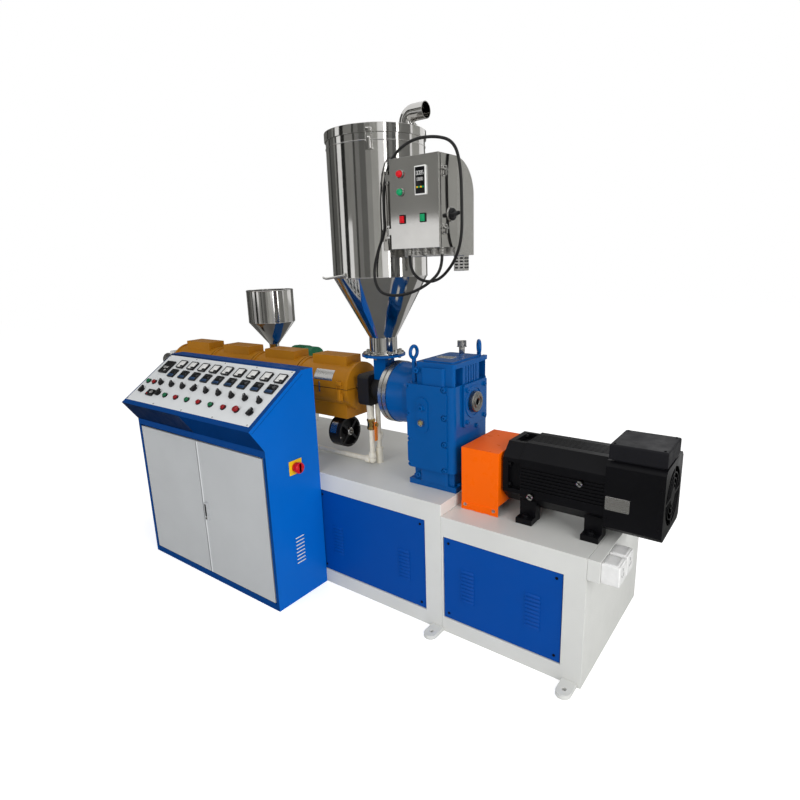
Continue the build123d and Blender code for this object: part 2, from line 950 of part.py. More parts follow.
def die_head():
    head = rod_x(neck_x, barrel_left, 0, axis_z, adapter_radius)
    head += rod_x(die_x, neck_x, 0, axis_z, die_neck_radius)
    head += rod_x(nose_x, die_x, 0, axis_z, die_body_radius)
    return head + rod_x(nose_x - die_nose_length, nose_x, 0, axis_z, die_nose_radius)


# Cooling water pipes on the bed
pipe_z = bed_high + pipe_floor_gap
block_bottom = axis_z - feed_block_half_height
valve_z = bed_high + valve_bottom
valve_top = valve_z + valve_height
valve_middle = (valve_z + valve_top) / 2


def elbow_ball(x, y, z):
    return Pos(x, y, z) * Sphere(fitting_radius)


def water_supply_pipe():
    x, y = -supply_x, -supply_y
    lower = rod_z(pipe_z, valve_z, x, y, pipe_radius)
    lower += rod_x(x - pipe_run, x, y, pipe_z, pipe_radius)
    lower += elbow_ball(x, y, pipe_z) + elbow_ball(x - pipe_run, y, pipe_z)
    lower += rod_z(bed_high, pipe_z, x - pipe_run, y, pipe_radius)
    upper = rod_z(valve_top, block_bottom, x, y, pipe_radius)
    upper += rod_z(valve_top, valve_top + coupling_height, x, y, fitting_radius)
    return Compound(children=[lower, upper])


def water_return_pipe():
    x = -return_x
    pipe = rod_z(bed_high, block_bottom, x, 0, pipe_radius)
    union_z = bed_high + union_height
    pipe += rod_z(union_z, union_z + union_length, x, 0, fitting_radius)
    return pipe + rod_z(bed_high, bed_high + return_foot_height, x, 0, fitting_radius)


lever_left = valve_radius + lever_gap - supply_x
lever_right = lever_left + lever_thickness


def water_valve():
    x, y = -supply_x, -supply_y
    body = rod_z(valve_z, valve_top, x, y, valve_radius)
    body += rod_x(x, x + valve_stem_reach, y, valve_middle, valve_stem_radius)
    nut_x = lever_right + fit
    return body + rod_x(nut_x, nut_x + lever_thickness, y, valve_middle, valve_nut_radius)


def valve_lever():
    y = -supply_y
    lever = block(lever_left, lever_right, y - lever_half_width, y + lever_half_width,
                  valve_middle - lever_length, valve_middle + lever_head)
    return lever - rod_x(lever_left, lever_right, y, valve_middle, valve_stem_radius + fit)


# Main motor
guard_x = gearbox_right + guard_gap
guard_right = guard_x + guard_length
motor_x = guard_right + motor_gap
body_x = motor_x + motor_nose_length
cowl_x = body_x + motor_body_length
motor_end = cowl_x + cowl_length


def chamfered_square(half, cut, y, z):
    near = half - cut
    return [(y - half, z - near), (y - near, z - half), (y + near, z - half), (y + half, z - near),
            (y + half, z + near), (y + near, z + half), (y - near, z + half), (y - half, z + near)]


def motor_frame():
    body = Part() + prism_x(chamfered_square(motor_half, motor_chamfer, 0, motor_z), body_x, cowl_x)
    first = -motor_fin_pitch * (motor_fin_count - 1) / 2 - motor_fin_width / 2
    inner = motor_half - motor_fin_depth
    for place in range(motor_fin_count):
        low = first + place * motor_fin_pitch
        high = low + motor_fin_width
        body -= block(body_x, cowl_x, -motor_half, -inner, motor_z + low, motor_z + high)
        body -= block(body_x, cowl_x, inner, motor_half, motor_z + low, motor_z + high)
        body -= block(body_x, cowl_x, low, high, motor_z + inner, motor_z + motor_half)
    nose_half = motor_half - motor_nose_inset
    nose = Part() + prism_x(chamfered_square(nose_half, motor_chamfer, 0, motor_z), motor_x, body_x)
    pocket_x = motor_x + motor_flange_thickness
    pocket = block(pocket_x, body_x, -motor_pocket_half, motor_pocket_half,
                   nose_half - motor_pocket_depth, nose_half)
    for turn in (0, 90, 180, 270):
        nose -= Pos(0, 0, motor_z) * Rot(turn, 0, 0) * pocket
    body += nose
    seat = motor_z - motor_half
    for x0 in (body_x - foot_end_margin, cowl_x - foot_end_margin - foot_length):
        for side in (-1, 1):
            near, far = sorted((side * foot_inner, side * foot_reach))
            body += block(x0, x0 + foot_length, near, far, bed_low, bed_low + foot_thickness)
            near, far = sorted((side * foot_inner, side * foot_web_reach))
            body += block(x0, x0 + foot_length, near, far, bed_low, seat + motor_chamfer)
    return body + rod_x(cowl_x, cowl_x + fan_shaft_length, 0, motor_z, fan_shaft_radius)


def motor_cowl():
    cowl = Part() + prism_x(chamfered_square(cowl_half, cowl_chamfer, 0, motor_z), cowl_x, motor_end)
    inner = chamfered_square(cowl_half - cowl_wall, cowl_chamfer - cowl_wall / 2, 0, motor_z)
    cowl -= prism_x(inner, cowl_x, motor_end - cowl_wall)
    face_x = motor_end - cowl_wall
    cowl -= rod_x(face_x, motor_end, 0, motor_z, cowl_opening_radius)
    for share in grille_ring_shares:
        radius = cowl_opening_radius * share
        cowl += rod_x(face_x, motor_end, 0, motor_z, radius) - rod_x(face_x, motor_end, 0, motor_z,
                                                                  radius - grille_ring_width)
    half_bar = grille_bar_width / 2
    reach = cowl_opening_radius + half_bar
    cowl += block(face_x, motor_end, -reach, reach, motor_z - half_bar, motor_z + half_bar)
    cowl += block(face_x, motor_end, -half_bar, half_bar, motor_z - reach, motor_z + reach)
    return cowl + rod_x(face_x, motor_end, 0, motor_z, grille_hub_radius)


def motor_fan():
    x0 = cowl_x + fan_offset
    x1 = x0 + fan_width
    fan = rod_x(x0, x1, 0, motor_z, fan_hub_radius)
    blade = block(x0, x1, -fan_blade_thickness / 2, fan_blade_thickness / 2, 0, fan_radius)
    for place in range(fan_blade_count):
        fan += Pos(0, 0, motor_z) * Rot(360 * place / fan_blade_count, 0, 0) * blade
    return fan - rod_x(x0, x1, 0, motor_z, fan_shaft_radius + fit)


def motor_terminal_box():
    x0 = cowl_x + terminal_left
    z0 = motor_z + cowl_half
    z1 = z0 + terminal_neck_height
    inset = terminal_neck_inset
    neck = block(x0 + inset, motor_end - inset, inset - terminal_front, terminal_back - inset, z0, z1)
    box = block(x0, motor_end, -terminal_front, terminal_back, z1, z1 + terminal_height)
    return neck + chamfer(box.edges().group_by(Axis.Z)[-1], terminal_chamfer)


def drive_coupling():
    line = rod_x(gearbox_right, motor_x, 0, motor_z, coupling_shaft_radius)
    return line + rod_x(gearbox_right + coupling_hub_margin, motor_x - coupling_hub_margin, 0, motor_z,
                        coupling_hub_radius)


def coupling_guard():
    half = guard_half_width
    wall = guard_wall
    top = bed_low + guard_height
    guard = block(guard_x, guard_right, -half, half, bed_low, top)
    guard -= block(guard_x + wall, guard_right - wall, wall - half, half - wall, bed_low, top - wall)
    guard -= block(guard_right - wall, guard_right, wall - half, half - wall,
                   bed_low, bed_low + guard_end_lift)
    guard -= rod_x(guard_x, guard_right, 0, motor_z, guard_hole_radius)
    flange_y = -half - guard_flange_thickness
    flange = block(guard_x, guard_right, flange_y, -half, bed_low, bed_low + guard_flange_height)
    gap = (guard_length - guard_notch_count * guard_notch_length) / (guard_notch_count + 1)
    for place in range(guard_notch_count):
        x0 = guard_x + gap + (gap + guard_notch_length) * place
        flange -= block(x0, x0 + guard_notch_length, flange_y, -half, bed_low, bed_low + guard_notch_height)
    return guard + flange


# Co-extruder
co_z = axis_z - co_drop
co_x = -co_feed_x
co_box_x = co_x + co_feed_half
co_motor_x = co_box_x + co_box_length


def co_stand():
    x0 = co_x - co_feed_half
    top = bed_high + co_stand_height
    stand = block(x0, x0 + co_stand_length, co_offset - co_stand_half_width, co_offset + co_stand_half_width,
                  bed_high, top)
    return stand


def co_gearbox():
    top = bed_high + co_stand_height
    half = co_box_half_width
    box = block(co_box_x, co_motor_x, co_offset - half, co_offset + half, top, co_z + co_box_rise)
    feed = block(co_x - co_feed_half, co_box_x, co_offset - co_feed_half, co_offset + co_feed_half,
                 top, co_z + co_feed_half)
    return box + feed


def co_motor():
    z = co_z + co_motor_rise
    top = bed_high + co_stand_height
    motor = rod_x(co_motor_x, co_motor_x + co_motor_length, co_offset, z, co_motor_radius)
    return motor + block(co_motor_x, co_motor_x + co_motor_seat, co_offset - co_motor_seat,
                         co_offset + co_motor_seat, top, z)


def co_barrel():
    x1 = co_x - co_feed_half
    barrel = rod_x(link_x - co_link_cap, x1, co_offset, co_z, co_barrel_radius)
    link_end = math.sqrt(die_body_radius ** 2 - co_drop ** 2)
    link = rod_y(link_end / 2, co_offset, link_x, co_z, co_link_radius)
    link -= rod_x(nose_x, die_x, 0, axis_z, die_body_radius + fit)
    return barrel + link


def co_hopper():
    z0 = co_z + co_feed_half
    z1 = z0 + co_outlet_height
    z2 = z1 + co_cone_height
    z3 = z2 + co_hopper_height
    shape = turned_z([
        (co_outlet_radius - co_wall, z0),
        (co_outlet_radius, z0),
        (co_outlet_radius, z1),
        (co_hopper_radius, z2),
        (co_hopper_radius, z3),
        (co_hopper_radius - co_wall, z3),
        (co_hopper_radius - co_wall, z2),
        (co_outlet_radius - co_wall, z1 + co_wall),
    ])
    return Pos(co_x, co_offset, 0) * shape


# Control cabinet
cabinet_x1 = -cabinet_right
cabinet_x0 = cabinet_x1 - cabinet_width
cabinet_back = -base_front
cabinet_front = cabinet_back - cabinet_depth
nose_y = cabinet_back - nose_depth
opening_x0 = cabinet_x0 + door_side_margin
opening_x1 = cabinet_x1 - door_side_margin
opening_middle = (opening_x0 + opening_x1) / 2
leaf_z0 = door_bottom + door_gap
leaf_z1 = door_top - door_gap
leaf_y1 = cabinet_front + door_thickness
pin_y = cabinet_front + door_thickness / 2


def cabinet_outline():
    return [
        (cabinet_back, 0),
        (cabinet_front, 0),
        (cabinet_front, chin_height),
        (nose_y, nose_height),
        (cabinet_back - top_depth, cabinet_height),
        (cabinet_back, cabinet_height),
    ]


def cabinet_inside():
    section = Face(Wire.make_polygon([Vector(0, y, z) for y, z in cabinet_outline()], close=True))
    inner = offset(section, amount=-cabinet_wall, kind=Kind.INTERSECTION).vertices()
    corners = []
    for y, z in cabinet_outline():
        nearest = min(inner, key=lambda corner: math.hypot(corner.Y - y, corner.Z - z))
        corners.append((nearest.Y, nearest.Z))
    return corners


def cabinet_side(x0):
    return Part() + prism_x(cabinet_outline(), x0, x0 + cabinet_wall)


def cabinet_shell():
    right = cabinet_side(cabinet_x1 - cabinet_wall)
    for row in range(vent_count):
        z0 = vent_bottom + row * vent_pitch
        y0 = cabinet_back - vent_front
        right -= block(cabinet_x1 - cabinet_wall, cabinet_x1, y0, y0 + vent_length, z0, z0 + vent_height)
    sheets = [cabinet_side(cabinet_x0), right]
    outer = cabinet_outline()
    inner = cabinet_inside()
    ends = zip(outer, outer[1:] + outer[:1], inner, inner[1:] + inner[:1])
    for place, (start, finish, inner_start, inner_finish) in enumerate(ends):
        if place != front_sheet:
            corners = [start, finish, inner_finish, inner_start]
            sheets.append(prism_x(corners, cabinet_x0 + cabinet_wall, cabinet_x1 - cabinet_wall))
    return Compound(children=sheets)


def cabinet_door_frame():
    x0 = cabinet_x0 + cabinet_wall
    x1 = cabinet_x1 - cabinet_wall
    y1 = cabinet_front + door_frame_depth
    bars = [
        block(x0, opening_x0, cabinet_front, y1, door_bottom, door_top),
        block(opening_x1, x1, cabinet_front, y1, door_bottom, door_top),
        block(x0, x1, cabinet_front + cabinet_wall, y1, cabinet_wall, door_bottom),
        block(x0, x1, cabinet_front, y1, door_top, chin_height),
    ]
    for x in (opening_x0 + door_gap + door_pin_inset, opening_x1 - door_gap - door_pin_inset):
        bars.append(rod_z(door_bottom, leaf_z0 + door_pin_depth, x, pin_y, door_pin_radius))
        bars.append(rod_z(leaf_z1 - door_pin_depth, door_top, x, pin_y, door_pin_radius))
    return Compound(children=bars)


def leaf(x0, x1, pin_x):
    door = block(x0, x1, cabinet_front, leaf_y1, leaf_z0, leaf_z1)
    bore = door_pin_radius + fit
    door -= rod_z(leaf_z0, leaf_z0 + door_pin_depth + fit, pin_x, pin_y, bore)
    return door - rod_z(leaf_z1 - door_pin_depth - fit, leaf_z1, pin_x, pin_y, bore)


def cabinet_left_door():
    x0 = opening_x0 + door_gap
    return leaf(x0, opening_middle - door_gap / 2, x0 + door_pin_inset)


def cabinet_right_door():
    x1 = opening_x1 - door_gap
    x0 = opening_middle + door_gap / 2
    handle_x = x0 + handle_inset
    door = leaf(x0, x1, x1 - door_pin_inset)
    return door + block(handle_x, handle_x + handle_width, cabinet_front - handle_depth, cabinet_front,
                        handle_height, handle_height + handle_length)


slope_run = nose_depth - top_depth
slope_rise = cabinet_height - nose_height
slope_length = math.hypot(slope_run, slope_rise)
slope_angle = math.degrees(math.atan2(slope_rise, slope_run))


def on_slope(across, up, lift):
    return Pos(cabinet_x0, nose_y, nose_height) * Rot(slope_angle, 0, 0) * Pos(across, up, lift)


def control_panel_plate():
    across = cabinet_width - plate_left - plate_right
    up = slope_length - plate_bottom - plate_top
    centre = on_slope(plate_left + across / 2, plate_bottom + up / 2, plate_thickness / 2)
    return centre * Box(across, up, plate_thickness)


def panel_block(across, up, width, height, depth):
    return on_slope(across, up, plate_thickness + depth / 2) * Box(width, height, depth)


def panel_meters():
    made = []
    for place in range(meter_count):
        made.append(panel_block(meter_first + place * meter_pitch, meter_row,
                                meter_width, meter_height, meter_depth))
        made.append(panel_block(controller_first + place * controller_pitch, controller_row,
                                controller_size, controller_size, controller_depth))
    made.append(panel_block(display_across, display_row, display_width, display_height, display_depth))
    made.append(panel_block(small_display_across, small_display_row, small_display_width,
                            small_display_height, display_depth))
    return Compound(children=made)


def panel_knobs():
    made = []
    for place in range(meter_count):
        across = knob_first + place * knob_pitch
        base = on_slope(across, knob_row, plate_thickness + knob_base_height / 2)
        grip = on_slope(across, knob_row, plate_thickness + knob_base_height + knob_grip_height / 2)
        knob = base * Cylinder(knob_radius, knob_base_height)
        knob += grip * Box(knob_grip_width, 2 * knob_radius, knob_grip_height)
        made.append(knob)
    return Compound(children=made)


def panel_buttons():
    places = [(button_first + place * button_pitch, button_row) for place in range(button_count)]
    for place in range(side_row_count):
        places.append((lamp_first + place * lamp_pitch, lamp_row))
        places.append((side_knob_first + place * side_knob_pitch, side_knob_row))
    made = []
    for across, up in places:
        centre = on_slope(across, up, plate_thickness + button_height / 2)
        made.append(centre * Cylinder(button_radius, button_height))
    return Compound(children=made)


switch_y = cabinet_back - switch_setback
switch_face_x = cabinet_x1 + switch_plate_thickness


def main_switch_plate():
    half = switch_plate_width / 2
    plate = block(cabinet_x1, switch_face_x, switch_y - half, switch_y + half,
                  switch_height - switch_plate_height / 2, switch_height + switch_plate_height / 2)
    stub_x = switch_face_x + switch_stub_length
    return plate + rod_x(switch_face_x, stub_x, switch_y, switch_height, switch_stub_radius)


def main_switch_knob():
    x0 = switch_face_x + switch_knob_gap
    x1 = x0 + switch_knob_depth
    knob = rod_x(x0, x1, switch_y, switch_height, switch_knob_radius)
    half_grip = switch_grip_width / 2
    knob += block(x1, x1 + switch_grip_depth, switch_y - half_grip, switch_y + half_grip,
                  switch_height - switch_knob_radius, switch_height + switch_knob_radius)
    return knob - rod_x(x0, switch_face_x + switch_stub_length + fit, switch_y, switch_height,
                        switch_stub_radius + fit)


os.makedirs("parts", exist_ok=True)
write("barrel_base", barrel_base())
write("drive_base", drive_base())
write("front_panels", panels(panel_recess - base_front - panel_thickness))
write("rear_panels", panels(base_back - panel_recess))
write("anchor_lugs", anchor_lugs())
write("socket_bracket", socket_bracket())
write("socket_outlets", socket_outlets())
write("gearbox_sole", gearbox_sole())
write("gearbox_housing", gearbox_housing())
write("gearbox_cap", gearbox_cap())
write("gearbox_rear_cover", gearbox_rear_cover())
write("screw_shaft_end", screw_shaft_end())
write("gearbox_eye_bolts", gearbox_eye_bolts())
write("gearbox_breather", gearbox_breather())
write("gearbox_bell", bell())
write("bell_flange_ring", bell_flange_ring())
write("feed_block", feed_block())
write("feed_throat", feed_throat())
write("dryer_outlet", dryer_outlet())
write("dryer_vessel", dryer_vessel())
write("dryer_lid", dryer_lid())
write("exhaust_elbow", exhaust_elbow())
write("dryer_air_housing", dryer_air_housing())
write("dryer_control_box", dryer_control_box())
write("dryer_box_door", dryer_box_door())
write("dryer_cord", dryer_cord())
write("barrel_tube", barrel_tube())
for zone in range(cover_count):
    write(f"heater_cover_{zone + 1}", heater_cover(zone))
write("barrel_blowers", barrel_blowers())
write("barrel_support", barrel_support())
write("die_head", die_head())
write("water_supply_pipe", water_supply_pipe())
write("water_return_pipe", water_return_pipe())
write("water_valve", water_valve())
write("valve_lever", valve_lever())
write("motor_frame", motor_frame())
write("motor_cowl", motor_cowl())
write("motor_fan", motor_fan())
write("motor_terminal_box", motor_terminal_box())
write("drive_coupling", drive_coupling())
write("coupling_guard", coupling_guard())
write("co_stand", co_stand())
write("co_gearbox", co_gearbox())
write("co_motor", co_motor())
write("co_barrel", co_barrel())
write("co_hopper", co_hopper())
write("cabinet_shell", cabinet_shell())
write("cabinet_door_frame", cabinet_door_frame())
write("cabinet_left_door", cabinet_left_door())
write("cabinet_right_door", cabinet_right_door())
write("control_panel_plate", control_panel_plate())
write("panel_meters", panel_meters())
write("panel_knobs", panel_knobs())
write("panel_buttons", panel_buttons())
write("main_switch_plate", main_switch_plate())
write("main_switch_knob", main_switch_knob())
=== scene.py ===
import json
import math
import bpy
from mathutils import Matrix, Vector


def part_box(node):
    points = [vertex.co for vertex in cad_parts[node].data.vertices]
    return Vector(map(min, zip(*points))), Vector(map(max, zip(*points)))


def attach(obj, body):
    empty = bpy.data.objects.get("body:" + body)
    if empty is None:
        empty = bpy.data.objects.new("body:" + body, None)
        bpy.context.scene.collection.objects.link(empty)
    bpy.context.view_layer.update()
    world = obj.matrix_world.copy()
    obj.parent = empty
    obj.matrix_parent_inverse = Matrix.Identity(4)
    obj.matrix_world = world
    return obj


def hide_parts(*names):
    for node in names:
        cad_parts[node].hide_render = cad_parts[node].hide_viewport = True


bl_info = {
    "name": "Straw Extruder",
    "version": (1, 0, 0),
    "blender": (4, 5, 0),
    "location": "View3D > Sidebar > Straw Extruder",
    "description": "Dresses the packed straw extruder with its fittings, finishes and studio",
    "category": "Object",
}

import bmesh
import bpy
from bpy.props import FloatProperty, FloatVectorProperty, IntProperty, PointerProperty
from bpy.types import Operator, Panel, PropertyGroup
from mathutils import Matrix, Vector

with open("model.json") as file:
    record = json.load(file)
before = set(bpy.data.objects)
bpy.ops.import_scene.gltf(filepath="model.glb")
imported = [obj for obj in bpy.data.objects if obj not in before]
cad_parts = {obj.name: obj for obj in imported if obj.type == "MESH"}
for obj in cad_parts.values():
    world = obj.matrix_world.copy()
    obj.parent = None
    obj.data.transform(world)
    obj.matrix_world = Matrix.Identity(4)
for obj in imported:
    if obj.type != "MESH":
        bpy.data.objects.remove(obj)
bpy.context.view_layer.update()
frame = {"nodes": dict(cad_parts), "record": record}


# Sizes and colours a user would change
def length(name, description, default):
    return FloatProperty(name=name, description=description, default=default, unit="LENGTH", precision=4)


def colour(name, description, default):
    return FloatVectorProperty(
        name=name, description=description, default=default, subtype="COLOR", size=3, min=0, max=1
    )


class StrawSizes(PropertyGroup):
    soft_edge: length("Soft edge", "Width of the rounded edge on painted sheet metal", 0.0025)
    cast_edge: length("Cast edge", "Width of the rounded edge on castings", 0.004)
    cord_diameter: length("Cable diameter", "Thickness of the looped cable", 0.012)
    slope_run: length("Slope run", "Depth of the cabinet's sloped panel, seen from above", 0.332)
    slope_rise: length("Slope rise", "Height of the cabinet's sloped panel", 0.219)
    nose_height: length("Nose height", "Height of the sloped panel's lower edge", 0.927)
    louvre_width: length("Louvre width", "Length of one louvre in the side panels", 0.064)
    louvre_pitch: length("Louvre pitch", "Step from one louvre to the next", 0.0175)
    louvre_rows: IntProperty(name="Louvre rows", description="Louvres in each group", default=9, min=1)
    zones: IntProperty(name="Zones", description="Meters and controllers in a row", default=9, min=1)
    zone_pitch: length("Zone pitch", "Step from one meter to the next", 0.1016)
    button_pitch: length("Button pitch", "Step from one button to the next", 0.0993)
    dryer_box_width: length("Dryer box width", "Width of the dryer's control box", 0.236)
    camera_lens: FloatProperty(
        name="Lens", description="Focal length of the camera", default=25.1, unit="CAMERA"
    )


class StrawColours(PropertyGroup):
    base: colour("Base", "Warm white enamel of the base", (0.66, 0.665, 0.64))
    panel: colour("Panels", "Deep blue enamel of the side panels", (0.0, 0.062, 0.33))
    cabinet: colour("Cabinet", "Bright blue coat of the cabinet's sides", (0.0, 0.13, 0.55))
    navy: colour("Front frame", "Darker blue of the cabinet's front frame", (0.0, 0.048, 0.22))
    door: colour("Doors", "Light grey of the cabinet's doors", (0.49, 0.505, 0.515))
    plate: colour("Panel plate", "Pale plate of the sloped panel", (0.72, 0.74, 0.75))
    casting: colour("Gearbox", "Blue enamel of the castings", (0.0, 0.078, 0.29))
    guard: colour("Guard", "Orange enamel of the coupling guard", (0.93, 0.13, 0.0))
    motor: colour("Motor", "Black enamel of the motor", (0.004, 0.004, 0.005))
    gold: colour("Heater covers", "Ochre enamel of the heater covers", (0.42, 0.17, 0.008))
    steel: colour("Polished steel", "Polished stainless steel", (0.6, 0.59, 0.57))
    machined: colour("Machined steel", "Turned and ground steel", (0.52, 0.51, 0.48))
    iron: colour("Feed block", "Black iron of the feed block", (0.012, 0.011, 0.011))
    pipe: colour("Pipes", "Cream plastic of the water pipes", (0.88, 0.83, 0.7))
    brass: colour("Brass", "Brass of the water valve", (0.62, 0.42, 0.14))
    lever: colour("Lever", "Orange sleeve of the valve lever", (0.85, 0.2, 0.01))
    socket: colour("Sockets", "White plastic of the sockets", (0.78, 0.78, 0.77))
    green: colour("Small motor", "Green enamel of the small motor", (0.005, 0.14, 0.06))
    black: colour("Black plastic", "Moulded black plastic", (0.006, 0.006, 0.007))
    yellow: colour("Switch plate", "Yellow plate of the main switch", (0.9, 0.55, 0.01))
    red: colour("Red plastic", "Red knobs and lenses", (0.6, 0.0, 0.008))
    lamp_green: colour("Green plastic", "Green lenses", (0.0, 0.3, 0.11))
    dial: colour("Dials", "White faces of the meters", (0.8, 0.8, 0.78))
    cable: colour("Cable", "Black sheath of the looped cable", (0.01, 0.01, 0.01))
    sight: colour("Sight glass", "Oil behind the gearbox's sight glass", (0.5, 0.42, 0.2))
    window: colour("Windows", "Dark windows of the controllers", (0.004, 0.006, 0.008))
    strip: colour("Key strips", "Blue strips under the controllers' windows", (0.008, 0.05, 0.14))


def sizes():
    return bpy.context.scene.straw_sizes


def colours():
    return bpy.context.scene.straw_colours


# Finishes
finishes = {}


def paint_nodes(name):
    material = bpy.data.materials.new(name)
    material.use_nodes = True
    tree = material.node_tree
    return material, tree, tree.nodes["Principled BSDF"]


def object_place(tree, stretch):
    place = tree.nodes.new("ShaderNodeTexCoord")
    mapping = tree.nodes.new("ShaderNodeMapping")
    mapping.inputs["Scale"].default_value = stretch
    tree.links.new(place.outputs["Object"], mapping.inputs["Vector"])
    return mapping.outputs["Vector"]


def noise(tree, place, scale, detail=3.0, rough=0.55):
    texture = tree.nodes.new("ShaderNodeTexNoise")
    texture.inputs["Scale"].default_value = scale
    texture.inputs["Detail"].default_value = detail
    texture.inputs["Roughness"].default_value = rough
    tree.links.new(place, texture.inputs["Vector"])
    return texture.outputs["Fac"]


def shaded(tree, factor, dark, light, low=0.3, high=0.7):
    ramp = tree.nodes.new("ShaderNodeValToRGB")
    ramp.color_ramp.elements[0].position = low
    ramp.color_ramp.elements[1].position = high
    ramp.color_ramp.elements[0].color = (*dark, 1)
    ramp.color_ramp.elements[1].color = (*light, 1)
    tree.links.new(factor, ramp.inputs["Fac"])
    return ramp.outputs["Color"]


def spread(tree, factor, low, high):
    change = tree.nodes.new("ShaderNodeMapRange")
    change.inputs["From Min"].default_value = 0.25
    change.inputs["From Max"].default_value = 0.75
    change.inputs["To Min"].default_value = low
    change.inputs["To Max"].default_value = high
    tree.links.new(factor, change.inputs["Value"])
    return change.outputs["Result"]


def raised(tree, factor, strength, distance):
    bump = tree.nodes.new("ShaderNodeBump")
    bump.inputs["Strength"].default_value = strength
    bump.inputs["Distance"].default_value = distance
    tree.links.new(factor, bump.inputs["Height"])
    return bump.outputs["Normal"]


def tinted(shade, amount):
    return tuple(min(1.0, part * amount) for part in shade)


def coated(name, shade, rough, grain, height, gloss=0.3, wear=0.06):
    """Enamel or powder coat with faint clouding, a fine peel and uneven gloss."""
    material, tree, surface = paint_nodes(name)
    place = object_place(tree, (1, 1, 1))
    cloud = noise(tree, place, 3.5, 4.0)
    tint = shaded(tree, cloud, tinted(shade, 1 - wear), tinted(shade, 1 + wear))
    tree.links.new(tint, surface.inputs["Base Color"])
    patches = spread(tree, noise(tree, place, 16.0, 5.0), rough * 0.8, rough * 1.25)
    tree.links.new(patches, surface.inputs["Roughness"])
    tree.links.new(raised(tree, noise(tree, place, grain, 2.0), 0.35, height), surface.inputs["Normal"])
    surface.inputs["Specular IOR Level"].default_value = gloss
    finishes[name] = material


def metal(name, shade, rough, stretch, grain, height):
    """Bare metal with fine marks along its grinding direction."""
    material, tree, surface = paint_nodes(name)
    marks = noise(tree, object_place(tree, stretch), grain, 4.0, 0.65)
    cloud = noise(tree, object_place(tree, (1, 1, 1)), 5.0, 4.0)
    tree.links.new(shaded(tree, cloud, tinted(shade, 0.9), tinted(shade, 1.06)), surface.inputs["Base Color"])
    tree.links.new(spread(tree, marks, rough * 0.75, rough * 1.35), surface.inputs["Roughness"])
    tree.links.new(raised(tree, marks, 0.25, height), surface.inputs["Normal"])
    surface.inputs["Metallic"].default_value = 1.0
    finishes[name] = material


def moulded(name, shade, rough, grain=900.0, coat=0.0, gloss=0.3):
    """Moulded plastic with a fine grain."""
    material, tree, surface = paint_nodes(name)
    place = object_place(tree, (1, 1, 1))
    cloud = noise(tree, place, 40.0, 3.0)
    tint = shaded(tree, cloud, tinted(shade, 0.93), tinted(shade, 1.05))
    tree.links.new(tint, surface.inputs["Base Color"])
    patches = spread(tree, noise(tree, place, 90.0), rough * 0.85, rough * 1.2)
    tree.links.new(patches, surface.inputs["Roughness"])
    tree.links.new(raised(tree, noise(tree, place, grain, 2.0), 0.3, 0.0002), surface.inputs["Normal"])
    surface.inputs["Coat Weight"].default_value = coat
    surface.inputs["Specular IOR Level"].default_value = gloss
    finishes[name] = material


def lens(name, shade):
    """Clear tinted glass or plastic with faint waviness."""
    material, tree, surface = paint_nodes(name)
    place = object_place(tree, (1, 1, 1))
    cloud = noise(tree, place, 60.0, 2.0)
    tree.links.new(shaded(tree, cloud, tinted(shade, 0.85), tinted(shade, 1.1)), surface.inputs["Base Color"])
    tree.links.new(spread(tree, noise(tree, place, 200.0), 0.04, 0.12), surface.inputs["Roughness"])
    tree.links.new(raised(tree, cloud, 0.1, 0.0002), surface.inputs["Normal"])
    surface.inputs["Transmission Weight"].default_value = 0.55
    surface.inputs["IOR"].default_value = 1.5
    finishes[name] = material


